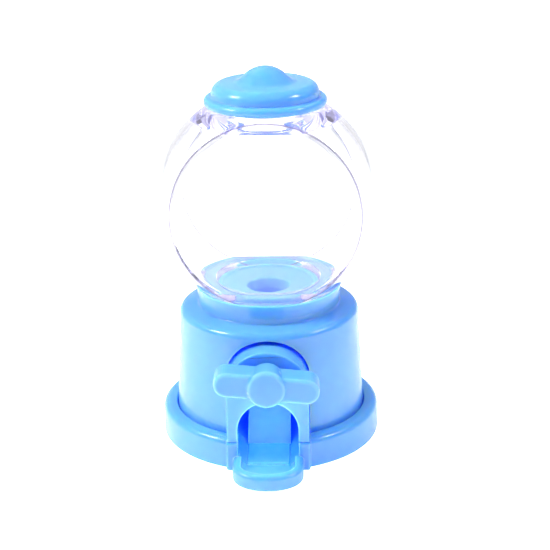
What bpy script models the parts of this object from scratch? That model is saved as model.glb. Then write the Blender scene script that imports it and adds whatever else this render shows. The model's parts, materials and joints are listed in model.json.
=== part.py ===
"""Miniature gumball machine: a clear globe on a round body, with a turning handle that drives a candy drum.

Metres, +Z up. The origin is the centre of the underside, and the handle faces -Y.
"""

import math

import bmesh
import bpy
from mathutils import Matrix, Vector

MM = 0.001
GAP = 0.3 * MM
THIN_GAP = 0.2 * MM

# Overall
TOTAL_HEIGHT = 90.0 * MM
TURN_STEPS = 48
SMALL_STEPS = 20
SCREW_STEPS = 10

# Base: floor plate, ring, front block and tray in one moulding
BASE_RADIUS = 26.4 * MM
BASE_RING_TOP = 7.34 * MM
BASE_RING_INNER = 23.0 * MM
BASE_FLOOR = 1.8 * MM
BASE_EDGE_ROUND = 1.6 * MM
FOOT_LIFT = 0.05 * MM
BLOCK_HALF_WIDTH = 9.8 * MM
BLOCK_FRONT = -26.3 * MM
BLOCK_BACK = -20.6 * MM
BLOCK_TOP = 7.1 * MM
TRAY_HALF_WIDTH = 8.2 * MM
TRAY_WALL = 1.9 * MM
TRAY_FRONT = -37.2 * MM
TRAY_STRAIGHT_END = -30.9 * MM
TRAY_RIM = 3.9 * MM
TRAY_OUTER_ROUND = 1.1 * MM
TRAY_INNER_ROUND = 1.4 * MM
STRIP_HALF_WIDTH = 5.0 * MM
STRIP_HEIGHT = 0.5 * MM
STRIP_FRONT = -26.8 * MM
STRIP_BACK = -16.8 * MM

# Body shell: drum-shaped wall, shoulder and collar
BODY_BOTTOM = 2.1 * MM
BODY_FOOT_RADIUS = 22.75 * MM
BODY_TOP_RADIUS = 21.5 * MM
BODY_WALL = 1.5 * MM
SHOULDER_Z = 31.9 * MM
SHOULDER_ROUND = 1.1 * MM
COLLAR_FOOT_RADIUS = 17.0 * MM
COLLAR_FOOT_Z = 32.9 * MM
COLLAR_LIP_RADIUS = 17.5 * MM
COLLAR_LIP_Z = 38.0 * MM
SEAT_Z = 36.6 * MM
SEAT_UNDERSIDE = 35.3 * MM
SEAT_HOLE = 12.4 * MM
COLLAR_INNER = 15.4 * MM
CUTOUT_HALF_WIDTH = 10.0 * MM
CUTOUT_ROUND_Z = 20.7 * MM

# Globe: ball with flat front and back faces
GLOBE_RADIUS = 26.49 * MM
GLOBE_CENTRE_Z = 58.04 * MM
GLOBE_WALL = 1.3 * MM
GLOBE_FLAT = 14.75 * MM
GLOBE_FLAT_SHARPNESS = 40
GLOBE_TOP_Z = 80.77 * MM
GLOBE_TOP_SHELF_Z = 77.35 * MM
GLOBE_BOTTOM_Z = 36.9 * MM
GLOBE_BOTTOM_SHELF_Z = 39.2 * MM
GLOBE_FEED_HOLE = 12.4 * MM
NECK_RADIUS = 11.1 * MM
NECK_BORE = 9.8 * MM
NECK_TOP_Z = 84.0 * MM

# Lid: cap over the globe's neck
LID_UNDERSIDE = 81.07 * MM
LID_FLANGE_RADIUS = 14.3 * MM
LID_FLANGE_TOP = 83.15 * MM
LID_FLANGE_ROUND = 0.8 * MM
LID_DOME_RADIUS = 12.5 * MM
LID_PLATEAU_Z = 86.35 * MM
LID_DOME_DROP = 0.15 * MM
LID_SHOULDER = 2.3 * MM
KNOB_CURVE = 6.8 * MM
KNOB_CAP_RADIUS = 4.4 * MM
KNOB_BLEND = 2.6 * MM
KNOB_FOOT = 7.7 * MM
LID_BORE = 11.4 * MM
LID_CEILING = 84.5 * MM

# Hopper: shallow dish, spout and the upper half of the drum's housing
HOPPER_RIM_RADIUS = 12.1 * MM
HOPPER_RIM_Z = 37.9 * MM
HOPPER_HOLE = 5.1 * MM
HOPPER_HOLE_Z = 36.8 * MM
HOPPER_SPOUT_BORE = 4.4 * MM
HOPPER_SPOUT_RADIUS = 6.3 * MM
HOPPER_FLANGE_RADIUS = 15.0 * MM
HOPPER_FLANGE_TOP = 35.0 * MM
HOPPER_FLANGE_THICK = 1.3 * MM

# Handle, drum and their shaft
AXIS_Z = 23.7 * MM
REST_TURN = math.radians(5.8)
BAR_LENGTH = 24.1 * MM
BAR_HEIGHT = 5.9 * MM
BAR_FRONT = -32.9 * MM
BAR_BACK = -26.4 * MM
BOSS_RADIUS = 4.5 * MM
BOSS_BACK_RADIUS = 4.0 * MM
BOSS_FRONT = -33.5 * MM
HANDLE_ROUND = 0.9 * MM
SHAFT_RADIUS = 2.4 * MM
SHAFT_END = -13.2 * MM
DRIVE_SIDE = 3.1 * MM
DRIVE_END = -5.8 * MM
DRUM_RADIUS = 6.2 * MM
DRUM_HALF_LENGTH = 7.0 * MM
DRUM_HUB_RADIUS = 4.2 * MM
DRUM_HUB_FRONT = -12.6 * MM
DRUM_SOCKET_BACK = -5.4 * MM
DRUM_JOURNAL_RADIUS = 2.2 * MM
DRUM_JOURNAL_END = 9.6 * MM
POCKET_RADIUS = 4.0 * MM
POCKET_FLOOR = -2.2 * MM
DRUM_SCREW_Y = -10.4 * MM

# Drum housing: the hopper's half above the axis, the cradle's half below it
PIPE_BORE = 6.5 * MM
PIPE_RADIUS = 7.6 * MM
PIPE_HALF_LENGTH = 7.0 * MM
CRADLE_WALL = 1.4 * MM
CRADLE_DROP = 4.6 * MM
EAR_HALF_WIDTH = 2.5 * MM
EAR_THICK = 1.4 * MM
EAR_SCREW_X = 17.2 * MM
EAR_POST_RADIUS = 2.2 * MM

# Front housing: round-topped cover in front of the body
HOUSING_HALF_WIDTH = 9.6 * MM
HOUSING_ROUND_Z = 20.1 * MM
HOUSING_FRONT = -26.0 * MM
HOUSING_BACK = -13.0 * MM
HOUSING_BOTTOM = 7.4 * MM
HOUSING_WALL = 1.6 * MM
HOUSING_ROUND = 1.1 * MM
ARCH_HALF_WIDTH = 7.1 * MM
ARCH_ROUND_Z = 10.2 * MM
SHAFT_HOLE = 2.65 * MM
BUSH_RADIUS = 4.2 * MM
BUSH_BACK = -19.5 * MM
HOUSING_EAR_SCREW_X = 12.0 * MM
HOUSING_EAR_SCREW_Z = 20.0 * MM
HOUSING_EAR_THICK = 1.3 * MM
HOUSING_EAR_OUTER = 14.0 * MM
HOUSING_POST_REACH = 21.3 * MM

# Chute ramp
RAMP_HALF_WIDTH = 5.1 * MM
RAMP_THICK = 1.4 * MM
RAMP_FOOT = (-16.2 * MM, 2.1 * MM)
RAMP_BEND = (-8.0 * MM, 8.7 * MM)
RAMP_BACK = (8.0 * MM, 10.1 * MM)
RAMP_GUARD = 2.6 * MM
RAMP_GUARD_THICK = 0.9 * MM
RAMP_LEG_RADIUS = 2.1 * MM
RAMP_LEG_Y = (-4.0 * MM, 5.0 * MM)

# Self-tapping screws
SCREW_RADIUS = 0.9 * MM
SCREW_HOLE = 1.1 * MM
SCREW_HEAD_RADIUS = 1.9 * MM
SCREW_HEAD_THICK = 0.9 * MM
SCREW_CROSS_WIDTH = 0.45 * MM
SCREW_CROSS_LENGTH = 2.2 * MM
SCREW_CROSS_DEPTH = 0.5 * MM
HEAD_RECESS_RADIUS = 2.3 * MM
BASE_SCREW_LENGTH = 8.0 * MM
BASE_POST_RADIUS = 2.4 * MM
BASE_POST_RING = 19.3 * MM
BASE_POST_TOP = 12.5 * MM
RECESS_DEPTH = 1.1 * MM

BLUE = (0.14, 0.48, 0.95, 1.0)
PALE_BLUE = (0.17, 0.53, 0.96, 1.0)
CLEAR = (0.96, 0.95, 1.0, 0.25)
STEEL = (0.60, 0.61, 0.63, 1.0)


def clear_scene():
    for item in list(bpy.data.objects):
        bpy.data.objects.remove(item, do_unlink=True)


def make_collection(name):
    group = bpy.data.collections.new(name)
    bpy.context.scene.collection.children.link(group)
    return group


def make_material(name, colour, roughness, metallic=0.0):
    material = bpy.data.materials.new(name)
    material.use_nodes = True
    shader = material.node_tree.nodes["Principled BSDF"]
    shader.inputs["Base Color"].default_value = colour
    shader.inputs["Roughness"].default_value = roughness
    shader.inputs["Metallic"].default_value = metallic
    return material


clear_scene()
MODEL = make_collection("gumball_machine")
CUTTERS = make_collection("cutters")


# ---------------------------------------------------------------- outlines


def arc(centre_x, centre_y, radius, start, end, count):
    """Points on a circle from start to end, in degrees, both ends included."""
    points = []
    for step in range(count + 1):
        angle = math.radians(start + (end - start) * step / count)
        points.append((centre_x + radius * math.cos(angle), centre_y + radius * math.sin(angle)))
    return points


def round_top_outline(half_width, bottom, round_z, count=20):
    """An outline with a flat foot, straight sides and a half-round top."""
    return [(-half_width, bottom), (half_width, bottom)] + arc(0, round_z, half_width, 0, 180, count)


def stadium_outline(length, height, count=12):
    """A bar outline with full-round ends."""
    radius = height / 2
    reach = length / 2 - radius
    return arc(reach, 0, radius, -90, 90, count) + arc(-reach, 0, radius, 90, 270, count)


def tray_outline(half_width, front, back, count=16):
    """Straight sides with a half-ellipse at the front."""
    points = [(half_width, back), (-half_width, back)]
    depth = TRAY_STRAIGHT_END - front
    for step in range(count + 1):
        angle = math.pi + math.pi * step / count
        points.append((half_width * math.cos(angle), TRAY_STRAIGHT_END + depth * math.sin(angle)))
    return points


# ---------------------------------------------------------------- shapes


def add_object(name, mesh, group):
    made = bpy.data.objects.new(name, mesh)
    group.objects.link(made)
    return made


def turned(name, profile, steps=TURN_STEPS, group=CUTTERS, closed=True):
    """A profile of (radius, z) points, turned about Z. It runs down the outer side."""
    mesh = bpy.data.meshes.new(name)
    edges = [(i, i + 1) for i in range(len(profile) - 1)]
    if closed:
        edges.append((len(profile) - 1, 0))
    mesh.from_pydata([(r, 0, z) for r, z in profile], edges, [])
    made = add_object(name, mesh, group)
    screw = made.modifiers.new("turn", "SCREW")
    screw.axis = "Z"
    screw.steps = steps
    screw.render_steps = steps
    screw.use_merge_vertices = True
    screw.merge_threshold = 0.00001
    return made


def prism(name, outline, low, high, plane="XY", group=CUTTERS):
    """A flat outline pushed from low to high along the axis that is normal to its plane."""
    curve = bpy.data.curves.new(name, "CURVE")
    curve.dimensions = "2D"
    curve.fill_mode = "BOTH"
    curve.extrude = (high - low) / 2
    spline = curve.splines.new("POLY")
    spline.points.add(len(outline) - 1)
    for point, (u, v) in zip(spline.points, outline):
        point.co = (u, v, 0, 1)
    spline.use_cyclic_u = True
    drawn = add_object(name + "_curve", curve, group)
    middle = (low + high) / 2
    if plane == "XY":
        drawn.location = (0, 0, middle)
    elif plane == "XZ":
        drawn.rotation_euler = (math.pi / 2, 0, 0)
        drawn.location = (0, middle, 0)
    else:
        drawn.rotation_euler = (math.pi / 2, 0, math.pi / 2)
        drawn.location = (middle, 0, 0)
    return curve_to_mesh(drawn, name, group)


def curve_to_mesh(drawn, name, group):
    bpy.context.view_layer.update()
    evaluated = drawn.evaluated_get(bpy.context.evaluated_depsgraph_get())
    mesh = bpy.data.meshes.new_from_object(evaluated)
    mesh.name = name
    work = bmesh.new()
    work.from_mesh(mesh)
    bmesh.ops.remove_doubles(work, verts=work.verts, dist=0.000001)
    bmesh.ops.transform(work, matrix=drawn.matrix_world, verts=work.verts)
    bmesh.ops.dissolve_limit(work, angle_limit=0.001, verts=work.verts, edges=work.edges)
    bmesh.ops.recalc_face_normals(work, faces=work.faces)
    work.to_mesh(mesh)
    work.free()
    bpy.data.objects.remove(drawn, do_unlink=True)
    return add_object(name, mesh, group)


def box(name, low, high, group=CUTTERS):
    work = bmesh.new()
    bmesh.ops.create_cube(work, size=1)
    size = Vector(high) - Vector(low)
    bmesh.ops.scale(work, vec=size, verts=work.verts)
    bmesh.ops.translate(work, vec=(Vector(high) + Vector(low)) / 2, verts=work.verts)
    return mesh_object(name, work, group)


def rod(name, start, end, radius, steps=SMALL_STEPS, group=CUTTERS, end_radius=None):
    """A cylinder between two points, or a cone when the end's radius is given."""
    work = bmesh.new()
    direction = Vector(end) - Vector(start)
    far = radius if end_radius is None else end_radius
    bmesh.ops.create_cone(
        work, cap_ends=True, segments=steps, radius1=radius, radius2=far, depth=direction.length
    )
    turn = direction.to_track_quat("Z", "Y").to_matrix().to_4x4()
    place = Matrix.Translation((Vector(start) + Vector(end)) / 2) @ turn
    bmesh.ops.transform(work, matrix=place, verts=work.verts)
    return mesh_object(name, work, group)


def mesh_object(name, work, group):
    mesh = bpy.data.meshes.new(name)
    work.to_mesh(mesh)
    work.free()
    return add_object(name, mesh, group)


def combine(target, other, operation):
    """Adds a Boolean modifier that joins, cuts or keeps the overlap."""
    modifier = target.modifiers.new(operation.lower() + "_" + other.name, "BOOLEAN")
    modifier.operation = operation
    modifier.solver = "EXACT"
    modifier.object = other
    other.hide_render = True
    other.display_type = "WIRE"


def join(target, *others):
    for other in others:
        combine(target, other, "UNION")


def cut(target, *others):
    for other in others:
        combine(target, other, "DIFFERENCE")


def round_edges(target, width, segments=3, angle=50):
    bevel = target.modifiers.new("rounding", "BEVEL")
    bevel.width = width
    bevel.segments = segments
    bevel.limit_method = "ANGLE"
    bevel.angle_limit = math.radians(angle)


def finish(target, name, material, pivot=None, turn=None):
    """Bakes the modifiers, names the piece, gives it its material, its turn and its origin."""
    bpy.context.view_layer.update()
    evaluated = target.evaluated_get(bpy.context.evaluated_depsgraph_get())
    mesh = bpy.data.meshes.new_from_object(evaluated)
    mesh.name = name
    place = target.matrix_world.copy()
    bpy.data.objects.remove(target, do_unlink=True)
    mesh.transform(place if turn is None else turn @ place)
    tidy_mesh(mesh)
    mesh.materials.clear()
    mesh.materials.append(material)
    mesh.shade_smooth()
    mesh.set_sharp_from_angle(angle=math.radians(32))
    piece = add_object(name, mesh, MODEL)
    if pivot is not None:
        mesh.transform(Matrix.Translation(-pivot.location))
        piece.parent = pivot
    return piece


def tidy_mesh(mesh):
    work = bmesh.new()
    work.from_mesh(mesh)
    bmesh.ops.remove_doubles(work, verts=work.verts, dist=0.000002)
    bmesh.ops.dissolve_degenerate(work, edges=work.edges, dist=0.000002)
    work.to_mesh(mesh)
    work.free()


def pivot_empty(name, location):
    pivot = bpy.data.objects.new(name, None)
    pivot.location = location
    MODEL.objects.link(pivot)
    bpy.context.view_layer.update()
    return pivot


# ---------------------------------------------------------------- lid and globe


def lid_profile():
    """From the top of the knob down the outside, then up inside the cap."""
    cap_edge = math.degrees(math.asin(KNOB_CAP_RADIUS / KNOB_CURVE))
    points = arc(0, TOTAL_HEIGHT - KNOB_CURVE, KNOB_CURVE, 90, 90 - cap_edge, 4)
    points.extend(arc(KNOB_FOOT, LID_PLATEAU_Z + KNOB_BLEND, KNOB_BLEND, 270 - cap_edge, 270, 3))
    shoulder_z = LID_PLATEAU_Z - LID_DOME_DROP - LID_SHOULDER
    points.extend(arc(LID_DOME_RADIUS - LID_SHOULDER, shoulder_z, LID_SHOULDER, 90, 0, 6))
    points.append((LID_DOME_RADIUS, LID_FLANGE_TOP))
    rim = LID_FLANGE_ROUND
    points.extend(arc(LID_FLANGE_RADIUS - rim, LID_FLANGE_TOP - rim, rim, 90, 0, 3))
    points.extend(arc(LID_FLANGE_RADIUS - rim, LID_UNDERSIDE + 0.5 * MM, rim, 0, -38, 1))
    points.append((LID_BORE, LID_UNDERSIDE))
    points.append((LID_BORE, LID_CEILING))
    points.append((0, LID_CEILING))
    return points


def build_lid():
    pivot = pivot_empty("lid_pivot", (0, 0, LID_UNDERSIDE))
    shape = turned("lid_shape", lid_profile(), group=MODEL, closed=False)
    finish(shape, "lid", blue, pivot)


def globe_profile():
    """The closed section of the ball's wall with its thick top and bottom rings."""
    outer = GLOBE_RADIUS
    inner = GLOBE_RADIUS - GLOBE_WALL

    def angle_at(radius, z):
        return math.degrees(math.asin((z - GLOBE_CENTRE_Z) / radius))

    points = [(NECK_BORE, NECK_TOP_Z), (NECK_RADIUS, NECK_TOP_Z), (NECK_RADIUS, GLOBE_TOP_Z)]
    top = angle_at(outer, GLOBE_TOP_Z)
    bottom = angle_at(outer, GLOBE_BOTTOM_Z)
    points.extend(arc(0, GLOBE_CENTRE_Z, outer, top, bottom, 15))
    points.append((GLOBE_FEED_HOLE, GLOBE_BOTTOM_Z))
    points.append((GLOBE_FEED_HOLE, GLOBE_BOTTOM_SHELF_Z))
    low = angle_at(inner, GLOBE_BOTTOM_SHELF_Z + 0.4 * MM)
    high = angle_at(inner, GLOBE_TOP_SHELF_Z - 0.4 * MM)
    low_point = arc(0, GLOBE_CENTRE_Z, inner, low, low + 1, 1)[0]
    high_point = arc(0, GLOBE_CENTRE_Z, inner, high, high + 1, 1)[0]
    points.append((low_point[0] - 0.6 * MM, GLOBE_BOTTOM_SHELF_Z))
    points.extend(arc(0, GLOBE_CENTRE_Z, inner, low, high, 11))
    points.append((high_point[0] - 0.6 * MM, GLOBE_TOP_SHELF_Z))
    points.append((NECK_BORE, GLOBE_TOP_SHELF_Z))
    return points


def press_flat(y, limit):
    """Holds y below the limit, with a short rounded turn into the flat."""
    share = abs(y) / limit
    return y / (1 + share ** GLOBE_FLAT_SHARPNESS) ** (1 / GLOBE_FLAT_SHARPNESS)


def build_globe():
    shape = turned("globe_shape", globe_profile(), group=MODEL)
    piece = finish(shape, "globe", clear)
    inner_limit = GLOBE_RADIUS - GLOBE_WALL / 2
    centre = Vector((0, 0, GLOBE_CENTRE_Z))
    for vertex in piece.data.vertices:
        outside = (vertex.co - centre).length > inner_limit
        limit = GLOBE_FLAT if outside else GLOBE_FLAT - GLOBE_WALL
        vertex.co.y = press_flat(vertex.co.y, limit)


# ---------------------------------------------------------------- body


def seat_radius(z):
    """The radius of the hollow that the ball sits in, at a height."""
    ball = GLOBE_RADIUS + GAP
    return math.sqrt(ball ** 2 - (GLOBE_CENTRE_Z - z) ** 2)


def body_profile():
    wall_top_z = SHOULDER_Z - SHOULDER_ROUND
    points = [(COLLAR_LIP_RADIUS - 0.15 * MM, COLLAR_LIP_Z), (COLLAR_LIP_RADIUS, COLLAR_LIP_Z - 0.2 * MM)]
    points.append((COLLAR_FOOT_RADIUS + 0.25 * MM, COLLAR_LIP_Z - 1.2 * MM))
    points.append((COLLAR_FOOT_RADIUS, COLLAR_LIP_Z - 2.4 * MM))
    points.append((COLLAR_FOOT_RADIUS, COLLAR_FOOT_Z + 0.4 * MM))
    points.append((COLLAR_FOOT_RADIUS + 0.4 * MM, COLLAR_FOOT_Z))
    edge = BODY_TOP_RADIUS - SHOULDER_ROUND
    points.extend(arc(edge, wall_top_z, SHOULDER_ROUND, 80, 0, 4))
    points.append((BODY_FOOT_RADIUS, BASE_RING_TOP))
    points.append((BODY_FOOT_RADIUS, BODY_BOTTOM))
    points.append((BODY_FOOT_RADIUS - BODY_WALL, BODY_BOTTOM))
    points.append((BODY_FOOT_RADIUS - BODY_WALL, BASE_RING_TOP))
    points.append((BODY_TOP_RADIUS - BODY_WALL, wall_top_z - 0.9 * MM))
    points.append((BODY_TOP_RADIUS - BODY_WALL - 0.7 * MM, SHOULDER_Z - BODY_WALL - 0.1 * MM))
    points.append((COLLAR_INNER, COLLAR_FOOT_Z - BODY_WALL))
    points.append((COLLAR_INNER, SEAT_UNDERSIDE))
    points.append((SEAT_HOLE, SEAT_UNDERSIDE))
    points.append((SEAT_HOLE, SEAT_Z))
    points.append((seat_radius(SEAT_Z), SEAT_Z))
    points.append((seat_radius(SEAT_Z + 0.7 * MM), SEAT_Z + 0.7 * MM))
    return points


def post_places():
    """The four base posts, on the diagonals."""
    places = []
    for quarter in range(4):
        angle = math.radians(45 + 90 * quarter)
        places.append((BASE_POST_RING * math.cos(angle), BASE_POST_RING * math.sin(angle)))
    return places


def build_body():
    shape = turned("body_shape", body_profile(), group=MODEL)
    opening = round_top_outline(CUTOUT_HALF_WIDTH, 0, CUTOUT_ROUND_Z)
    cut(shape, prism("cutout", opening, -30 * MM, -14 * MM, plane="XZ"))
    for index, (x, y) in enumerate(post_places()):
        post = rod(f"base_post_{index}", (x, y, BODY_BOTTOM), (x, y, BASE_POST_TOP), BASE_POST_RADIUS)
        join(shape, post)
    ear_top = AXIS_Z + THIN_GAP + EAR_THICK
    for index, x in enumerate((-EAR_SCREW_X, EAR_SCREW_X)):
        low = (x, 0, ear_top + GAP)
        join(shape, rod(f"hopper_post_{index}", low, (x, 0, SHOULDER_Z - 0.8 * MM), EAR_POST_RADIUS))
    post_end = HOUSING_BACK - HOUSING_EAR_THICK - GAP
    for index, x in enumerate((-HOUSING_EAR_SCREW_X, HOUSING_EAR_SCREW_X)):
        low = (x, -20.0 * MM, HOUSING_EAR_SCREW_Z)
        post = rod(f"housing_post_{index}", low, (x, post_end, HOUSING_EAR_SCREW_Z), 1.9 * MM)
        inside = rod(f"wall_limit_{index}", (0, 0, 0), (0, 0, SHOULDER_Z), HOUSING_POST_REACH, 48)
        combine(post, inside, "INTERSECT")
        join(shape, post)
    for index, (x, y) in enumerate(post_places()):
        low = (x, y, BODY_BOTTOM - 1 * MM)
        cut(shape, rod(f"base_pilot_{index}", low, (x, y, BASE_POST_TOP - 1 * MM), SCREW_HOLE, SCREW_STEPS))
    for index, x in enumerate((-EAR_SCREW_X, EAR_SCREW_X)):
        low = (x, 0, ear_top - 1 * MM)
        cut(shape, rod(f"hopper_pilot_{index}", low, (x, 0, ear_top + 4.6 * MM), SCREW_HOLE, SCREW_STEPS))
    for index, x in enumerate((-HOUSING_EAR_SCREW_X, HOUSING_EAR_SCREW_X)):
        low = (x, -17.3 * MM, HOUSING_EAR_SCREW_Z)
        high = (x, post_end + 1 * MM, HOUSING_EAR_SCREW_Z)
        cut(shape, rod(f"housing_pilot_{index}", low, high, SCREW_HOLE, SCREW_STEPS))
    finish(shape, "body_shell", blue)


# ---------------------------------------------------------------- base


def base_profile():
    top = BASE_RING_TOP
    rim = BASE_EDGE_ROUND
    points = [(0, BASE_FLOOR), (BASE_RING_INNER, BASE_FLOOR), (BASE_RING_INNER, top - 0.3 * MM)]
    points.append((BASE_RING_INNER + 0.3 * MM, top))
    points.extend(arc(BASE_RADIUS - 0.15 * MM - rim, top - rim, rim, 90, 0, 5))
    points.append((BASE_RADIUS, 0.3 * MM))
    points.append((BASE_RADIUS - 0.3 * MM, 0))
    points.append((0, 0))
    return points


def build_base():
    shape = turned("base_shape", base_profile(), group=MODEL, closed=False)
    block_low = (-BLOCK_HALF_WIDTH, BLOCK_FRONT, FOOT_LIFT)
    block = box("block", block_low, (BLOCK_HALF_WIDTH, BLOCK_BACK, BLOCK_TOP))
    round_edges(block, 0.5 * MM, 2)
    tray_back = BLOCK_FRONT + 1 * MM
    tray = prism("tray_outer", tray_outline(TRAY_HALF_WIDTH, TRAY_FRONT, tray_back), FOOT_LIFT, TRAY_RIM)
    round_edges(tray, TRAY_OUTER_ROUND)
    trim_half = BLOCK_HALF_WIDTH - 0.04 * MM
    trim_low = (-trim_half, -40 * MM, BLOCK_TOP - 0.06 * MM)
    cut(shape, box("ring_trim", trim_low, (trim_half, -BASE_RING_INNER + 2.5 * MM, TOTAL_HEIGHT)))
    join(shape, block, tray)
    inner = tray_outline(TRAY_HALF_WIDTH - TRAY_WALL, TRAY_FRONT + TRAY_WALL, BLOCK_BACK - 0.5 * MM)
    hollow = prism("tray_hollow", inner, BASE_FLOOR + 0.03 * MM, 10 * MM)
    round_edges(hollow, TRAY_INNER_ROUND)
    passage_low = (-ARCH_HALF_WIDTH, BLOCK_FRONT - 0.02 * MM, BASE_FLOOR + 0.01 * MM)
    passage = box("passage", passage_low, (ARCH_HALF_WIDTH, BLOCK_BACK + 1 * MM, 10 * MM))
    cut(shape, hollow, passage)
    strip_low = (-STRIP_HALF_WIDTH, STRIP_FRONT, BASE_FLOOR - 0.4 * MM)
    strip_high = (STRIP_HALF_WIDTH, STRIP_BACK, BASE_FLOOR + STRIP_HEIGHT)
    join(shape, box("strip", strip_low, strip_high))
    for index, (x, y) in enumerate(post_places()):
        cut_screw_seat(shape, f"base_seat_{index}", x, y)
    for index, y in enumerate(RAMP_LEG_Y):
        cut_screw_seat(shape, f"ramp_seat_{index}", 0, y)
    finish(shape, "base", blue)


def cut_screw_seat(shape, name, x, y):
    """A screw hole through the floor with a wider recess for the head below."""
    profile = [
        (0, 4 * MM),
        (SCREW_HOLE, 4 * MM),
        (SCREW_HOLE, RECESS_DEPTH),
        (HEAD_RECESS_RADIUS, RECESS_DEPTH),
        (HEAD_RECESS_RADIUS, -1 * MM),
        (0, -1 * MM),
    ]
    seat = turned(name, profile, SCREW_STEPS, closed=False)
    seat.location = (x, y, 0)
    cut(shape, seat)


# ---------------------------------------------------------------- front housing and ramp


def build_front_housing():
    outline = round_top_outline(HOUSING_HALF_WIDTH, HOUSING_BOTTOM, HOUSING_ROUND_Z, 24)
    shape = prism("housing_shape", outline, HOUSING_FRONT, HOUSING_BACK, "XZ", MODEL)
    round_edges(shape, HOUSING_ROUND, 3)
    inner = HOUSING_HALF_WIDTH - HOUSING_WALL
    hollow_outline = round_top_outline(inner, 0, HOUSING_ROUND_Z)
    hollow = prism("housing_hollow", hollow_outline, HOUSING_FRONT + HOUSING_WALL, 0, "XZ")
    bush_low = (0, HOUSING_FRONT + 0.8 * MM, AXIS_Z)
    bush = rod("bush", bush_low, (0, BUSH_BACK, AXIS_Z), BUSH_RADIUS)
    arch_outline = round_top_outline(ARCH_HALF_WIDTH, 0, ARCH_ROUND_Z)
    arch = prism("arch", arch_outline, HOUSING_FRONT - 1 * MM, HOUSING_FRONT + 2.5 * MM, "XZ")
    cut(shape, hollow)
    join(shape, bush)
    cut(shape, arch, rod("shaft_hole", (0, -30 * MM, AXIS_Z), (0, -10 * MM, AXIS_Z), SHAFT_HOLE))
    for side in (-1, 1):
        join(shape, housing_ear(side))
    for side in (-1, 1):
        x = side * HOUSING_EAR_SCREW_X
        low = (x, HOUSING_BACK - 3 * MM, HOUSING_EAR_SCREW_Z)
        high = (x, HOUSING_BACK + 2 * MM, HOUSING_EAR_SCREW_Z)
        cut(shape, rod(f"ear_hole_{side}", low, high, SCREW_HOLE, SCREW_STEPS))
    finish(shape, "front_housing", blue)


def housing_ear(side):
    inner = side * (HOUSING_HALF_WIDTH - HOUSING_WALL / 2)
    outer = side * HOUSING_EAR_OUTER
    low = (min(inner, outer), HOUSING_BACK - HOUSING_EAR_THICK, HOUSING_EAR_SCREW_Z - 2.4 * MM)
    high = (max(inner, outer), HOUSING_BACK - 0.02 * MM, HOUSING_EAR_SCREW_Z + 2.4 * MM)
    return box(f"housing_ear_{side}", low, high)


def ramp_outline():
    """The ramp's side view in Y and Z: steep at the front, nearly level under the drum."""
    steep = math.atan2(RAMP_BEND[1] - RAMP_FOOT[1], RAMP_BEND[0] - RAMP_FOOT[0])
    foot_reach = RAMP_THICK / math.sin(steep)
    under_bend = (RAMP_BEND[0] + 0.5 * MM, RAMP_BEND[1] - RAMP_THICK)
    return [
        RAMP_FOOT,
        (RAMP_FOOT[0] + foot_reach, RAMP_FOOT[1]),
        under_bend,
        (RAMP_BACK[0], RAMP_BACK[1] - RAMP_THICK),
        RAMP_BACK,
        RAMP_BEND,
    ]


def build_chute_ramp():
    shape = prism("ramp_shape", ramp_outline(), -RAMP_HALF_WIDTH, RAMP_HALF_WIDTH, "YZ", MODEL)
    round_edges(shape, 0.45 * MM, 2)
    for side in (-1, 1):
        outer = side * RAMP_HALF_WIDTH * 0.99
        inner = outer - side * RAMP_GUARD_THICK
        low = (min(inner, outer), RAMP_BEND[0] + 0.6 * MM, RAMP_BEND[1] - 0.6 * MM)
        high = (max(inner, outer), RAMP_BACK[0] - 0.3 * MM, RAMP_BACK[1] + RAMP_GUARD)
        join(shape, box(f"guard_{side}", low, high))
    back_low = (-RAMP_HALF_WIDTH * 0.97, RAMP_BACK[0] - 1.2 * MM, RAMP_BACK[1] - 0.7 * MM)
    back_high = (RAMP_HALF_WIDTH * 0.97, RAMP_BACK[0] - 0.4 * MM, RAMP_BACK[1] + RAMP_GUARD - 0.1 * MM)
    join(shape, box("guard_back", back_low, back_high))
    for index, y in enumerate(RAMP_LEG_Y):
        foot = (0, y, BASE_FLOOR + GAP)
        join(shape, rod(f"leg_{index}", foot, (0, y, RAMP_BEND[1] - 0.4 * MM), RAMP_LEG_RADIUS))
    for index, y in enumerate(RAMP_LEG_Y):
        cut(shape, rod(f"leg_pilot_{index}", (0, y, 0), (0, y, 7.4 * MM), SCREW_HOLE, SCREW_STEPS))
    finish(shape, "chute_ramp", pale_blue)


# ---------------------------------------------------------------- hopper, drum and handle


def hopper_profile():
    flange_under = HOPPER_FLANGE_TOP - HOPPER_FLANGE_THICK
    return [
        (HOPPER_RIM_RADIUS - 0.3 * MM, HOPPER_RIM_Z),
        (HOPPER_RIM_RADIUS, HOPPER_RIM_Z - 0.3 * MM),
        (HOPPER_RIM_RADIUS, HOPPER_FLANGE_TOP),
        (HOPPER_FLANGE_RADIUS, HOPPER_FLANGE_TOP),
        (HOPPER_FLANGE_RADIUS, flange_under),
        (HOPPER_SPOUT_RADIUS, flange_under),
        (HOPPER_SPOUT_RADIUS, AXIS_Z + 3 * MM),
        (HOPPER_SPOUT_BORE, AXIS_Z + 3 * MM),
        (HOPPER_SPOUT_BORE, HOPPER_HOLE_Z - 2.2 * MM),
        (HOPPER_HOLE - 0.2 * MM, HOPPER_HOLE_Z - 0.3 * MM),
        (HOPPER_HOLE, HOPPER_HOLE_Z),
        (HOPPER_RIM_RADIUS - 1.3 * MM, HOPPER_RIM_Z - 0.3 * MM),
        (HOPPER_RIM_RADIUS - 1.0 * MM, HOPPER_RIM_Z),
    ]


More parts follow.
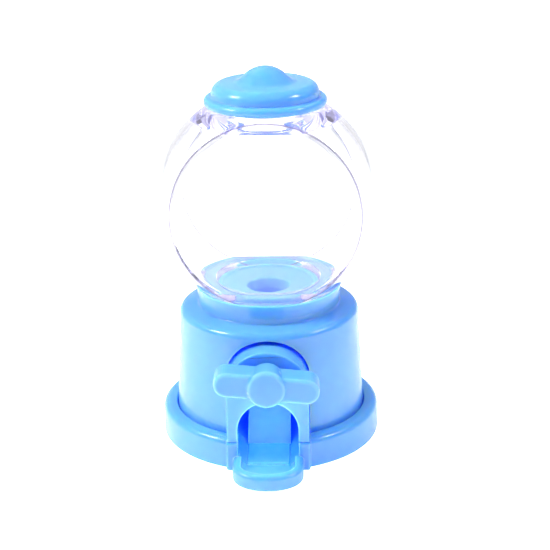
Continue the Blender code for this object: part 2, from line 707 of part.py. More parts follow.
def half_pipe_outline(radius, below):
    """A half disc above or below the drum's axis, with a thin gap at the split."""
    if below:
        level = AXIS_Z - THIN_GAP
        start = -math.degrees(math.asin(THIN_GAP / radius))
        return arc(0, AXIS_Z, radius, start, -180 - start, 20), level
    level = AXIS_Z + THIN_GAP
    start = math.degrees(math.asin(THIN_GAP / radius))
    return arc(0, AXIS_Z, radius, start, 180 - start, 20), level


def ear_plate(name, low, high):
    reach = EAR_SCREW_X
    outline = arc(reach, 0, EAR_HALF_WIDTH, -90, 90, 8) + arc(-reach, 0, EAR_HALF_WIDTH, 90, 270, 8)
    return prism(name, outline, low, high)


def build_hopper():
    shape = turned("hopper_shape", hopper_profile(), 40, MODEL)
    outline, split = half_pipe_outline(PIPE_RADIUS, False)
    pipe = prism("upper_pipe", outline, -PIPE_HALF_LENGTH, PIPE_HALF_LENGTH, "XZ")
    join(shape, pipe, ear_plate("upper_ears", split, split + EAR_THICK))
    bore_low = (0, -PIPE_HALF_LENGTH - 1 * MM, AXIS_Z)
    bore = rod("upper_bore", bore_low, (0, PIPE_HALF_LENGTH + 1 * MM, AXIS_Z), PIPE_BORE, 32)
    spout = rod("spout_bore", (0, 0, AXIS_Z), (0, 0, 34 * MM), HOPPER_SPOUT_BORE)
    cut(shape, bore, spout)
    for side in (-1, 1):
        x = side * EAR_SCREW_X
        low = (x, 0, split - 1 * MM)
        cut(shape, rod(f"upper_ear_hole_{side}", low, (x, 0, split + 3 * MM), SCREW_HOLE, SCREW_STEPS))
    finish(shape, "hopper", pale_blue)


def build_cradle():
    outline, split = half_pipe_outline(PIPE_RADIUS, True)
    outer = PIPE_HALF_LENGTH + GAP + CRADLE_WALL
    shape = prism("lower_pipe", outline, -outer, outer, "XZ", MODEL)
    plate = ear_plate("lower_ears", split - EAR_THICK, split - 0.01 * MM)
    join(shape, plate)
    for index, side in enumerate((-1, 1)):
        inner_y = side * (PIPE_HALF_LENGTH + GAP)
        outer_y = side * (outer - 0.02 * MM)
        disc = PIPE_RADIUS - 0.05 * MM
        join(shape, rod(f"end_disc_{index}", along_axis(inner_y), along_axis(outer_y), disc, 32))
    inner = PIPE_HALF_LENGTH + GAP
    cut(shape, rod("lower_bore", (0, -inner, AXIS_Z), (0, inner, AXIS_Z), PIPE_BORE, 32))
    front_hole = DRUM_HUB_RADIUS + GAP
    rear_hole = DRUM_JOURNAL_RADIUS + THIN_GAP
    cut(shape, rod("hub_hole", (0, -12 * MM, AXIS_Z), (0, -5 * MM, AXIS_Z), front_hole))
    cut(shape, rod("journal_hole", (0, 5 * MM, AXIS_Z), (0, 12 * MM, AXIS_Z), rear_hole))
    drop_low = (-CRADLE_DROP, -CRADLE_DROP, AXIS_Z - 10 * MM)
    cut(shape, box("drop_hole", drop_low, (CRADLE_DROP, CRADLE_DROP, AXIS_Z - 3 * MM)))
    for side in (-1, 1):
        x = side * EAR_SCREW_X
        low = (x, 0, split - 3 * MM)
        cut(shape, rod(f"lower_ear_hole_{side}", low, (x, 0, split + 1 * MM), SCREW_HOLE, SCREW_STEPS))
    finish(shape, "drum_cradle", pale_blue)


def along_axis(y):
    return (0, y, AXIS_Z)


def square_bar(name, side, start, end):
    half = side / 2
    return box(name, (-half, start, AXIS_Z - half), (half, end, AXIS_Z + half))


def rest_turn():
    """The turn about the handle's axis that brings a piece to where the handle is at rest."""
    centre = Vector((0, 0, AXIS_Z))
    turn = Matrix.Rotation(REST_TURN, 4, "Y")
    return Matrix.Translation(centre) @ turn @ Matrix.Translation(-centre)


def build_drum(pivot):
    length = DRUM_HALF_LENGTH
    shape = rod("drum_shape", along_axis(-length), along_axis(length), DRUM_RADIUS, 32, MODEL)
    join(shape, rod("drum_hub", along_axis(DRUM_HUB_FRONT), along_axis(0), DRUM_HUB_RADIUS))
    join(shape, rod("drum_journal", along_axis(0), along_axis(DRUM_JOURNAL_END), DRUM_JOURNAL_RADIUS))
    pocket_floor = (0, 0, AXIS_Z + POCKET_FLOOR)
    cut(shape, rod("pocket", pocket_floor, (0, 0, AXIS_Z + 10 * MM), POCKET_RADIUS))
    socket_side = DRIVE_SIDE + 2 * THIN_GAP
    cut(shape, square_bar("socket", socket_side, DRUM_HUB_FRONT - 1 * MM, DRUM_SOCKET_BACK))
    screw_base = (0, DRUM_SCREW_Y, AXIS_Z)
    cut(shape, rod("drum_screw_hole", screw_base, (0, DRUM_SCREW_Y, AXIS_Z - 8 * MM), SCREW_HOLE, SCREW_STEPS))
    finish(shape, "dispensing_drum", pale_blue, pivot, rest_turn())


def build_handle(pivot):
    bar = prism("bar", stadium_outline(BAR_LENGTH, BAR_HEIGHT), BAR_FRONT, BAR_BACK, "XZ", MODEL)
    bar.data.transform(Matrix.Translation((0, 0, AXIS_Z)))
    round_edges(bar, HANDLE_ROUND)
    boss_back = along_axis(BAR_BACK + 0.05 * MM)
    boss = rod("boss", along_axis(BOSS_FRONT), boss_back, BOSS_RADIUS, 32, end_radius=BOSS_BACK_RADIUS)
    round_edges(boss, HANDLE_ROUND)
    join(bar, boss)
    join(bar, rod("shaft", along_axis(BAR_BACK - 1 * MM), along_axis(SHAFT_END), SHAFT_RADIUS))
    join(bar, square_bar("drive", DRIVE_SIDE, SHAFT_END - 1 * MM, DRIVE_END))
    low = (0, DRUM_SCREW_Y, AXIS_Z)
    cut(bar, rod("drive_pilot", low, (0, DRUM_SCREW_Y, AXIS_Z - 4 * MM), SCREW_HOLE, SCREW_STEPS))
    finish(bar, "handle", blue, pivot, rest_turn())


# ---------------------------------------------------------------- screws


def screw_profile(length):
    """Pan head at the top of the local axis, tip at the bottom."""
    head = SCREW_HEAD_RADIUS
    return [
        (0, SCREW_HEAD_THICK),
        (head * 0.75, SCREW_HEAD_THICK),
        (head, SCREW_HEAD_THICK * 0.3),
        (head, 0),
        (SCREW_RADIUS, 0),
        (SCREW_RADIUS, -length + 1.2 * MM),
        (SCREW_RADIUS * 0.25, -length),
        (0, -length),
    ]


def build_screw(name, seat, out, length, pivot=None, head_scale=1.0):
    """A screw whose head rests at seat and points out along out."""
    profile = [(r * head_scale if r > SCREW_RADIUS else r, z) for r, z in screw_profile(length)]
    shape = turned(name + "_shape", profile, SCREW_STEPS, MODEL, closed=False)
    half = SCREW_CROSS_LENGTH / 2 * head_scale
    thin = SCREW_CROSS_WIDTH / 2
    low = SCREW_HEAD_THICK - SCREW_CROSS_DEPTH
    first = box(name + "_cross_a", (-half, -thin, low), (half, thin, SCREW_HEAD_THICK + 1 * MM))
    second = box(name + "_cross_b", (-thin, -half, low), (thin, half, SCREW_HEAD_THICK + 1 * MM))
    place = Matrix.Translation(seat) @ Vector(out).to_track_quat("Z", "Y").to_matrix().to_4x4()
    for item in (shape, first, second):
        item.matrix_world = place
    cut(shape, first, second)
    finish(shape, name, steel, pivot)


def build_screws():
    for index, (x, y) in enumerate(post_places()):
        build_screw(f"base_screw_{index + 1}", (x, y, RECESS_DEPTH - 0.1 * MM), (0, 0, -1), BASE_SCREW_LENGTH)
    for index, y in enumerate(RAMP_LEG_Y):
        build_screw(f"ramp_screw_{index + 1}", (0, y, RECESS_DEPTH - 0.1 * MM), (0, 0, -1), 5.5 * MM)
    under = AXIS_Z - THIN_GAP - EAR_THICK - 0.1 * MM
    for name, x in (("left", -EAR_SCREW_X), ("right", EAR_SCREW_X)):
        build_screw(f"hopper_screw_{name}", (x, 0, under), (0, 0, -1), 6.6 * MM)
    behind = HOUSING_BACK + 0.1 * MM
    for name, x in (("left", -HOUSING_EAR_SCREW_X), ("right", HOUSING_EAR_SCREW_X)):
        place = (x, behind, HOUSING_EAR_SCREW_Z)
        build_screw(f"housing_screw_{name}", place, (0, 1, 0), 4.1 * MM)


def build_drum_screw(pivot):
    turn = Matrix.Rotation(REST_TURN, 3, "Y")
    down = turn @ Vector((0, 0, -1))
    seat = Vector((0, DRUM_SCREW_Y, AXIS_Z)) + down * (DRUM_HUB_RADIUS + 0.1 * MM)
    build_screw("drum_screw", seat, down, 3.9 * MM, pivot, 0.8)


# ---------------------------------------------------------------- assembly

blue = make_material("blue_plastic", BLUE, 0.30)
pale_blue = make_material("pale_blue_plastic", PALE_BLUE, 0.36)
clear = make_material("clear_plastic", CLEAR, 0.05)
steel = make_material("zinc_steel", STEEL, 0.35, 1.0)

build_lid()
build_globe()
build_body()
build_hopper()
build_cradle()
build_chute_ramp()
build_front_housing()
build_base()
rotor_pivot = pivot_empty("rotor_pivot", (0, HOUSING_FRONT, AXIS_Z))
build_drum(rotor_pivot)
build_handle(rotor_pivot)
build_drum_screw(rotor_pivot)
build_screws()
for cutter in CUTTERS.objects:
    cutter.hide_render = True
    cutter.display_type = "WIRE"
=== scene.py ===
"""Fine surfaces, materials, light and camera for the miniature gumball machine.

Metres, +Z up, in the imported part's frame: the origin is the centre of the underside and the handle faces -Y.
"""

import json
import math

import bmesh
import bpy
from mathutils import Matrix, Vector

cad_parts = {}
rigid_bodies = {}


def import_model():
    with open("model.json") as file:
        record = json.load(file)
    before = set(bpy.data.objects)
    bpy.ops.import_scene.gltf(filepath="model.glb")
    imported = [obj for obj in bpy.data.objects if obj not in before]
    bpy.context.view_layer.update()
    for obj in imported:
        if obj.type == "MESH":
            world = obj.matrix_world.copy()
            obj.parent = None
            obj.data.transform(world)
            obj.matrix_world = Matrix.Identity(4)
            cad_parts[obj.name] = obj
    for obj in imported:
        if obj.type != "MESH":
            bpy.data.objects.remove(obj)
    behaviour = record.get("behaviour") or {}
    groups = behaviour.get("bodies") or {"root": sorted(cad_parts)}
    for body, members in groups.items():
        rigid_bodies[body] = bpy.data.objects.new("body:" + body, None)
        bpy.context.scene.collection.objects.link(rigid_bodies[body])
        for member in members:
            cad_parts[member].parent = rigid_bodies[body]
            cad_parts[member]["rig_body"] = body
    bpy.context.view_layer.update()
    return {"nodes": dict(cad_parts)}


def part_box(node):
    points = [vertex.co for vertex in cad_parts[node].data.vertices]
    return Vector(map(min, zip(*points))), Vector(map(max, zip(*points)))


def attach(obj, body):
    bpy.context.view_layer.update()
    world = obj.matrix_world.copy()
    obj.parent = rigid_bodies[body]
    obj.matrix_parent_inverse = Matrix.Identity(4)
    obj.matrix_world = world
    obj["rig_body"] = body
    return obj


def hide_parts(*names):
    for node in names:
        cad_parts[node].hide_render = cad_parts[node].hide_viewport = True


MM = 0.001
TURN_STEPS = 180
ARC_STEP = math.radians(7)

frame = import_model()
nodes = frame["nodes"]

# Main extents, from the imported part
lid_low, lid_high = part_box("lid")
globe_low, globe_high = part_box("globe")
body_low, body_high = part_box("body_shell")
base_low, base_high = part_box("base")
ramp_low, ramp_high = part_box("chute_ramp")
housing_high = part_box("front_housing")[1]
handle_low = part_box("handle")[0]
hopper_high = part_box("hopper")[1]

# Lid
KNOB_CURVE = 6.8 * MM
KNOB_CAP_RADIUS = 4.4 * MM
KNOB_BLEND = 2.6 * MM
KNOB_FOOT = 7.7 * MM
LID_PLATEAU_Z = 86.35 * MM
LID_SHOULDER = 2.3 * MM
LID_FLANGE_TOP = 83.15 * MM
LID_DOME_RADIUS = 12.5 * MM
LID_BORE = 11.4 * MM
LID_CEILING = 84.5 * MM

# Globe
GLOBE_CENTRE_Z = 58.04 * MM
GLOBE_WALL = 1.3 * MM
OUTER_FLAT_SHARPNESS = 60
INNER_FLAT_SHARPNESS = 22
GLOBE_TOP_Z = 80.77 * MM
GLOBE_TOP_SHELF_Z = 77.35 * MM
GLOBE_BOTTOM_SHELF_Z = 39.2 * MM
GLOBE_FEED_HOLE = 12.4 * MM
NECK_RADIUS = 11.1 * MM
NECK_BORE = 9.8 * MM

# Body shell
BODY_TOP_RADIUS = 21.5 * MM
BODY_WALL = 1.5 * MM
SHOULDER_Z = 31.9 * MM
COLLAR_FOOT_RADIUS = 17.0 * MM
COLLAR_FOOT_Z = 32.9 * MM
COLLAR_LIP_RADIUS = 17.5 * MM
COLLAR_INNER = 15.4 * MM
SEAT_Z = 36.6 * MM
SEAT_UNDERSIDE = 35.3 * MM
SEAT_HOLE = 12.4 * MM
CUTOUT_HALF_WIDTH = 9.75 * MM
CUTOUT_ROUND_Z = 20.95 * MM
SEAM = 0.08 * MM

# Hopper
HOPPER_RIM_RADIUS = 12.1 * MM
HOPPER_HOLE = 5.1 * MM
HOPPER_HOLE_Z = 36.8 * MM
HOPPER_SPOUT_BORE = 4.4 * MM
HOPPER_FLANGE_TOP = 35.0 * MM

# Base
RING_TOP = 7.34 * MM
RING_INNER = 23.0 * MM
FLOOR = 1.8 * MM
FOOT_LIFT = 0.05 * MM
BLOCK_HALF_WIDTH = 9.8 * MM
BLOCK_FRONT = -26.3 * MM
BLOCK_BACK = -20.6 * MM
BLOCK_TOP = 7.1 * MM
TRAY_HALF_WIDTH = 8.2 * MM
TRAY_WALL = 1.9 * MM
TRAY_STRAIGHT_END = -30.9 * MM
TRAY_RIM = 3.9 * MM
STRIP_HALF_WIDTH = 5.0 * MM
STRIP_FRONT = -26.8 * MM
STRIP_BACK = -16.24 * MM
STRIP_TOP = 2.3 * MM
ARCH_HALF_WIDTH = 7.1 * MM
ARCH_ROUND_Z = 10.2 * MM

# Handle and housing
AXIS_Z = 23.7 * MM
REST_TURN = math.radians(5.8)
HOUSING_HALF_WIDTH = 9.6 * MM
HOUSING_ROUND_Z = 20.1 * MM
HOUSING_ROUND = 1.1 * MM
HOUSING_FRONT = -26.0 * MM
HOUSING_WALL = 1.6 * MM
BAR_LENGTH = 24.1 * MM
BAR_HEIGHT = 5.9 * MM
BAR_FRONT = -32.9 * MM
BAR_BACK = -26.4 * MM
BOSS_RADIUS = 4.5 * MM
BOSS_BACK_RADIUS = 4.0 * MM
SHAFT_RADIUS = 2.4 * MM
SHAFT_BACK = -13.2 * MM
SHAFT_HOLE = 2.65 * MM
BUSH_RADIUS = 4.2 * MM
BUSH_BACK = -19.5 * MM
SKIN_CELL = 0.16 * MM

# Hopper's clamp on the drum
CLAMP_RADIUS = 7.6 * MM
CLAMP_HALF_LENGTH = 7.0 * MM
CLAMP_BORE = 6.5 * MM
CLAMP_GAP = 0.2 * MM
EAR_X = 17.2 * MM
EAR_RADIUS = 2.5 * MM
EAR_THICKNESS = 1.4 * MM
FLANGE_RADIUS = 15.0 * MM
FLANGE_THICKNESS = 1.3 * MM
SPOUT_RADIUS = 6.3 * MM
PILOT_RADIUS = 1.1 * MM

# Ramp, as (y, z) points of its upper face
RAMP_FOOT = (-16.2 * MM, FLOOR + 0.08 * MM)
RAMP_BEND = (-8.0 * MM, 8.7 * MM)
RAMP_BACK = (8.0 * MM, 10.1 * MM)
RAMP_WALL = 1.4 * MM
LEG_PLACES = (-4.0 * MM, 5.0 * MM)
LEG_RADIUS = 2.1 * MM
LEG_PILOT_TOP = 7.4 * MM

# Plastics
BLUE = (0.134, 0.425, 0.98)
PALE_BLUE = (0.18, 0.46, 0.985)
# The ramp's blue is paler and redder than the body's: painted sheen, standing in for the white that its steep
# face reflects.
RAMP_PAINTED_SHEEN_BLUE = (0.27, 0.41, 1.0)
BLUE_ROUGHNESS = 0.21
PALE_ROUGHNESS = 0.36
SOFT_CORNER = 0.25 * MM
SMOOTH_LIMIT = math.radians(32)
# Painted edge light: a paler blue mixed in along edges and rounded corners, standing in for the light that
# thin translucent plastic catches.
PAINTED_EDGE_LIGHT_COLOUR = (0.36, 0.72, 1.0, 1.0)
PAINTED_EDGE_LIGHT_WIDTH = 0.7 * MM
PAINTED_EDGE_LIGHT_STRENGTH = 0.9
GRIP_PAINTED_EDGE_LIGHT_STRENGTH = 0.6
SCATTER_RADIUS = (0.25, 0.6, 1.6)
SCATTER_SCALE = 0.003

# Clear shell
CLEAR_TINTS = ((0.975, 0.97, 0.995, 1.0), (0.99, 0.985, 1.0, 1.0))
CLEAR_DEPTH_COLOUR = (0.62, 0.60, 0.86, 1.0)
CLEAR_DENSITY = 26.0
SHADOW_PASS = 0.92
# Painted shade and glow on the clear shell: dark lines where it is seen edge-on and along its flat faces'
# round edges, and a faint lavender glow in those lines and in its thick top and bottom rings, standing in for
# what refraction shows there.
PAINTED_RIM_SHADE_COLOUR = (0.07, 0.06, 0.11, 1.0)
PAINTED_RIM_STRENGTH = 0.75
RIM_FACING = (0.80, 0.98)
PAINTED_RIM_GLOW = 0.16
FLAT_EDGE_SPAN = (0.38 * MM, 0.22 * MM)
BALL_EDGE_SPAN = (0.34 * MM, 0.18 * MM)
PAINTED_GLOW_COLOUR = (0.80, 0.76, 1.0, 1.0)
PAINTED_RING_GLOW = 0.07
RING_SPAN = (18.6 * MM, 19.6 * MM)

# Screws
STEEL_TONES = ((0.50, 0.51, 0.53, 1.0), (0.66, 0.66, 0.65, 1.0))

# Room
WORLD_FRONT = 0.16
WORLD_TOP = 0.45
WORLD_RIGHT = 0.6
WORLD_SEEN = 1.15
GLASS_FRONT = 0.72
GLASS_SPAN = (0.55, 0.97)
ROOM_COLOUR = (0.92, 1.18, 1.32, 1.0)
SHADE_COLOUR = (0.80, 0.77, 1.0, 1.0)
FLOOR_SEEN = 1.0
FLOOR_LIGHT = 0.55
FLOOR_SIZE = 3.0
FLOOR_DROP = 0.0002

# Lamps
AIM = (0, 0, 0.04)
LEFT_PLACE = (-0.36, -0.08, 0.36)
RIGHT_PLACE = (0.36, -0.08, 0.35)
TOP_PLACE = (-0.14, -0.04, 0.60)
LEFT_SIZE = 0.12
RIGHT_SIZE = 0.10
TOP_SIZE = 0.5
LEFT_POWER = 1.15
RIGHT_POWER = 0.7
TOP_POWER = 4.4
GLOW_COLOUR = (0.16, 0.40, 1.0)
TRAY_FILL_COLOUR = (1.0, 0.88, 0.95)
BODY_GLOW = 0.0115
REAR_GLOW = 0.004
TRAY_FILL = 0.0024
BODY_GLOW_PLACE = (0, -18.5 * MM, 15.5 * MM)
REAR_GLOW_PLACE = (0, 14 * MM, 22 * MM)
TRAY_FILL_PLACE = (0, -31 * MM, 13 * MM)
LIGHT_BOUNCES = 32

# Camera
CAMERA_PLACE = (10.09, -339.97, 163.3)
CAMERA_AZIMUTH = math.radians(2.25)
CAMERA_TILT = math.radians(20.27)
CAMERA_ROLL = math.radians(-1.23)
CAMERA_LENS = 98.55
SENSOR_WIDTH = 36.0
CAMERA_SHIFT_X = 0.0364
CAMERA_SHIFT_Y = 0.01

LOOKS = bpy.data.collections.new("looks")
CUTTERS = bpy.data.collections.new("looks_cutters")
for group in (LOOKS, CUTTERS):
    bpy.context.scene.collection.children.link(group)


# ---------------------------------------------------------------- outlines


def arc(centre_x, centre_y, radius, start, end, count):
    """Points on a circle from start to end, in degrees, both ends included."""
    points = []
    for step in range(count + 1):
        angle = math.radians(start + (end - start) * step / count)
        points.append((centre_x + radius * math.cos(angle), centre_y + radius * math.sin(angle)))
    return points


def filleted(corners, closed):
    """A path through (x, y, radius) corners, each turned with an arc of its radius."""
    path = []
    last = len(corners) - 1
    for index, (x, y, radius) in enumerate(corners):
        if radius == 0 or (not closed and index in (0, last)):
            path.append((x, y))
            continue
        here = Vector((x, y))
        before = (Vector(corners[index - 1][:2]) - here).normalized()
        after = (Vector(corners[(index + 1) % len(corners)][:2]) - here).normalized()
        half = math.acos(max(-1.0, min(1.0, before.dot(after)))) / 2
        centre = here + (before + after).normalized() * (radius / math.sin(half))
        reach = radius / math.tan(half)
        first = here + before * reach - centre
        second = here + after * reach - centre
        sweep = math.atan2(first.x * second.y - first.y * second.x, first.dot(second))
        count = max(2, math.ceil(abs(sweep) / ARC_STEP))
        for step in range(count + 1):
            angle = sweep * step / count
            turned_x = first.x * math.cos(angle) - first.y * math.sin(angle)
            turned_y = first.x * math.sin(angle) + first.y * math.cos(angle)
            path.append((centre.x + turned_x, centre.y + turned_y))
    return path


def round_top_outline(half_width, bottom, round_z, count=40):
    """A flat foot, straight sides and a half-round top."""
    return [(-half_width, bottom), (half_width, bottom)] + arc(0, round_z, half_width, 0, 180, count)


def stadium_outline(length, height, count=16):
    """A bar outline with full-round ends."""
    radius = height / 2
    reach = length / 2 - radius
    return arc(reach, 0, radius, -90, 90, count) + arc(-reach, 0, radius, 90, 270, count)


def tray_outline(half_width, front, back, count=40):
    """Straight sides with a half-ellipse at the front, square at the back."""
    points = [(half_width, back), (-half_width, back)]
    depth = TRAY_STRAIGHT_END - front
    for step in range(count + 1):
        angle = math.pi + math.pi * step / count
        points.append((half_width * math.cos(angle), TRAY_STRAIGHT_END + depth * math.sin(angle)))
    return points


# ---------------------------------------------------------------- shapes


def add_object(name, mesh, group):
    made = bpy.data.objects.new(name, mesh)
    group.objects.link(made)
    return made


def evaluated_mesh(item):
    bpy.context.view_layer.update()
    return bpy.data.meshes.new_from_object(item.evaluated_get(bpy.context.evaluated_depsgraph_get()))


def turned(name, profile, steps=TURN_STEPS, group=CUTTERS, closed=True):
    """A profile of (radius, z) points, turned about Z. It runs down the outer side."""
    mesh = bpy.data.meshes.new(name)
    edges = [(i, i + 1) for i in range(len(profile) - 1)]
    if closed:
        edges.append((len(profile) - 1, 0))
    mesh.from_pydata([(r, 0, z) for r, z in profile], edges, [])
    made = add_object(name, mesh, group)
    screw = made.modifiers.new("turn", "SCREW")
    screw.axis = "Z"
    screw.steps = steps
    screw.render_steps = steps
    screw.use_merge_vertices = True
    screw.merge_threshold = 0.000005
    return made


def prism(name, outline, low, high, plane="XY", group=CUTTERS):
    """A flat outline pushed from low to high along the axis that is normal to its plane."""
    curve = bpy.data.curves.new(name, "CURVE")
    curve.dimensions = "2D"
    curve.fill_mode = "BOTH"
    curve.extrude = (high - low) / 2
    spline = curve.splines.new("POLY")
    spline.points.add(len(outline) - 1)
    for point, (u, v) in zip(spline.points, outline):
        point.co = (u, v, 0, 1)
    spline.use_cyclic_u = True
    drawn = add_object(name + "_curve", curve, group)
    middle = (low + high) / 2
    if plane == "XY":
        drawn.location = (0, 0, middle)
    elif plane == "XZ":
        drawn.rotation_euler = (math.pi / 2, 0, 0)
        drawn.location = (0, middle, 0)
    else:
        drawn.rotation_euler = (math.pi / 2, 0, math.pi / 2)
        drawn.location = (middle, 0, 0)
    mesh = evaluated_mesh(drawn)
    work = bmesh.new()
    work.from_mesh(mesh)
    bmesh.ops.remove_doubles(work, verts=work.verts, dist=0.000001)
    bmesh.ops.transform(work, matrix=drawn.matrix_world, verts=work.verts)
    bmesh.ops.dissolve_limit(work, angle_limit=0.0005, verts=work.verts, edges=work.edges)
    bmesh.ops.recalc_face_normals(work, faces=work.faces)
    work.to_mesh(mesh)
    work.free()
    bpy.data.objects.remove(drawn, do_unlink=True)
    return add_object(name, mesh, group)


def box(name, low, high, group=CUTTERS):
    work = bmesh.new()
    bmesh.ops.create_cube(work, size=1)
    bmesh.ops.scale(work, vec=Vector(high) - Vector(low), verts=work.verts)
    bmesh.ops.translate(work, vec=(Vector(high) + Vector(low)) / 2, verts=work.verts)
    return mesh_object(name, work, group)


def rod(name, start, end, radius, steps=64, group=CUTTERS):
    """A cylinder between two points."""
    return cone(name, start, end, radius, radius, steps, group)


def cone(name, start, end, start_radius, end_radius, steps=64, group=CUTTERS):
    """A tapered rod between two points."""
    work = bmesh.new()
    direction = Vector(end) - Vector(start)
    bmesh.ops.create_cone(
        work, cap_ends=True, segments=steps, radius1=start_radius, radius2=end_radius, depth=direction.length
    )
    turn = direction.to_track_quat("Z", "Y").to_matrix().to_4x4()
    place = Matrix.Translation((Vector(start) + Vector(end)) / 2) @ turn
    bmesh.ops.transform(work, matrix=place, verts=work.verts)
    return mesh_object(name, work, group)


def mesh_object(name, work, group):
    mesh = bpy.data.meshes.new(name)
    work.to_mesh(mesh)
    work.free()
    return add_object(name, mesh, group)


def combine(target, other, operation):
    modifier = target.modifiers.new(operation.lower() + "_" + other.name, "BOOLEAN")
    modifier.operation = operation
    modifier.solver = "EXACT"
    modifier.object = other


def join(target, *others):
    for other in others:
        combine(target, other, "UNION")


def cut(target, *others):
    for other in others:
        combine(target, other, "DIFFERENCE")


def round_edges(target, width, segments=4, angle=50):
    bevel = target.modifiers.new("rounding", "BEVEL")
    bevel.width = width
    bevel.segments = segments
    bevel.limit_method = "ANGLE"
    bevel.angle_limit = math.radians(angle)


def baked(target, name, turn=None):
    """The piece with its modifiers applied, welded and shaded smooth."""
    mesh = evaluated_mesh(target)
    mesh.name = name
    place = target.matrix_world.copy()
    bpy.data.objects.remove(target, do_unlink=True)
    mesh.transform(place if turn is None else turn @ place)
    work = bmesh.new()
    work.from_mesh(mesh)
    bmesh.ops.remove_doubles(work, verts=work.verts, dist=0.000002)
    bmesh.ops.dissolve_degenerate(work, edges=work.edges, dist=0.000002)
    work.to_mesh(mesh)
    work.free()
    mesh.shade_smooth()
    mesh.set_sharp_from_angle(angle=SMOOTH_LIMIT)
    piece = add_object(name, mesh, LOOKS)
    even_normals(piece)
    return piece


def even_normals(piece):
    """Large faces keep their own direction where they meet a rounded edge."""
    normals = piece.modifiers.new("even_normals", "WEIGHTED_NORMAL")
    normals.keep_sharp = True
    normals.weight = 60


def dress(piece, node, material):
    """The fine piece stands for its CAD node, on the same body."""
    piece.data.materials.clear()
    piece.data.materials.append(material)
    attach(piece, nodes[node]["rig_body"])
    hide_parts(node)


def clear_cutters():
    for item in list(CUTTERS.objects):
        bpy.data.objects.remove(item, do_unlink=True)


# ---------------------------------------------------------------- materials


def add_node(tree, kind, **values):
    node = tree.nodes.new(kind)
    for key, value in values.items():
        setattr(node, key, value)
    return node


def link(tree, source, output, target, entry):
    tree.links.new(source.outputs[output], target.inputs[entry])


def noise(tree, place, scale, detail=2.0):
    node = add_node(tree, "ShaderNodeTexNoise")
    node.inputs["Scale"].default_value = scale
    node.inputs["Detail"].default_value = detail
    link(tree, place, "Object", node, "Vector")
    return node


def ramp(tree, source, low, high):
    """Maps a noise value to a range of grey values or colours."""
    node = add_node(tree, "ShaderNodeValToRGB")
    node.color_ramp.elements[0].position = 0.3
    node.color_ramp.elements[1].position = 0.7
    node.color_ramp.elements[0].color = low
    node.color_ramp.elements[1].color = high
    link(tree, source, "Fac", node, "Fac")
    return node


def grey(value):
    return (value, value, value, 1.0)


def plastic(name, colour, roughness, dense=False):
    """Moulded plastic: faint colour drift, uneven gloss, fine moulding grain, soft corners and a painted paler
    edge light.
    """
    material = bpy.data.materials.new(name)
    material.use_nodes = True
    tree = material.node_tree
    shader = tree.nodes["Principled BSDF"]
    place = add_node(tree, "ShaderNodeTexCoord")
    drift = ramp(tree, noise(tree, place, 45.0, 3.0), shade(colour, 0.955), shade(colour, 1.03))
    edge = painted_edge_light_mask(tree, dense)
    # Painted edge light: the colour turns a paler blue towards the edges.
    pale = add_node(tree, "ShaderNodeMix", data_type="RGBA")
    link(tree, edge, "Result", pale, "Factor")
    link(tree, drift, "Color", pale, "A")
    pale.inputs["B"].default_value = PAINTED_EDGE_LIGHT_COLOUR
    link(tree, pale, "Result", shader, "Base Color")
    gloss = ramp(tree, noise(tree, place, 160.0, 4.0), grey(roughness - 0.03), grey(roughness + 0.05))
    link(tree, gloss, "Color", shader, "Roughness")
    grain = add_node(tree, "ShaderNodeBump")
    grain.inputs["Strength"].default_value = 0.05
    grain.inputs["Distance"].default_value = 0.00004
    link(tree, noise(tree, place, 2600.0, 2.0), "Fac", grain, "Height")
    corner = add_node(tree, "ShaderNodeBevel", samples=6)
    corner.inputs["Radius"].default_value = SOFT_CORNER
    link(tree, corner, "Normal", grain, "Normal")
    link(tree, grain, "Normal", shader, "Normal")
    shader.inputs["IOR"].default_value = 1.59
    shader.inputs["Subsurface Weight"].default_value = 1.0
    shader.inputs["Subsurface Radius"].default_value = SCATTER_RADIUS
    shader.inputs["Subsurface Scale"].default_value = SCATTER_SCALE
    shader.inputs["Coat Weight"].default_value = 0.12
    shader.inputs["Coat Roughness"].default_value = 0.2
    return material


def painted_edge_light_mask(tree, dense):
    """Rises towards the piece's edges, where the colour is painted paler to stand in for the light that thin
    translucent plastic catches there.
    """
    if dense:
        facet = add_node(tree, "ShaderNodeNewGeometry")
        mask = add_node(tree, "ShaderNodeMapRange")
        mask.inputs["From Min"].default_value = 0.502
        mask.inputs["From Max"].default_value = 0.525
        mask.inputs["To Max"].default_value = GRIP_PAINTED_EDGE_LIGHT_STRENGTH
        link(tree, facet, "Pointiness", mask, "Value")
        return mask
    wide = add_node(tree, "ShaderNodeBevel", samples=8)
    wide.inputs["Radius"].default_value = PAINTED_EDGE_LIGHT_WIDTH
    facet = add_node(tree, "ShaderNodeNewGeometry")
    match = add_node(tree, "ShaderNodeVectorMath", operation="DOT_PRODUCT")
    link(tree, wide, "Normal", match, 0)
    link(tree, facet, "Normal", match, 1)
    mask = add_node(tree, "ShaderNodeMapRange")
    mask.inputs["From Min"].default_value = 1.0
    mask.inputs["From Max"].default_value = 0.75
    mask.inputs["To Max"].default_value = PAINTED_EDGE_LIGHT_STRENGTH
    link(tree, match, "Value", mask, "Value")
    return mask


def shade(colour, factor):
    return tuple(min(1.0, channel * factor) for channel in colour[:3]) + (1.0,)


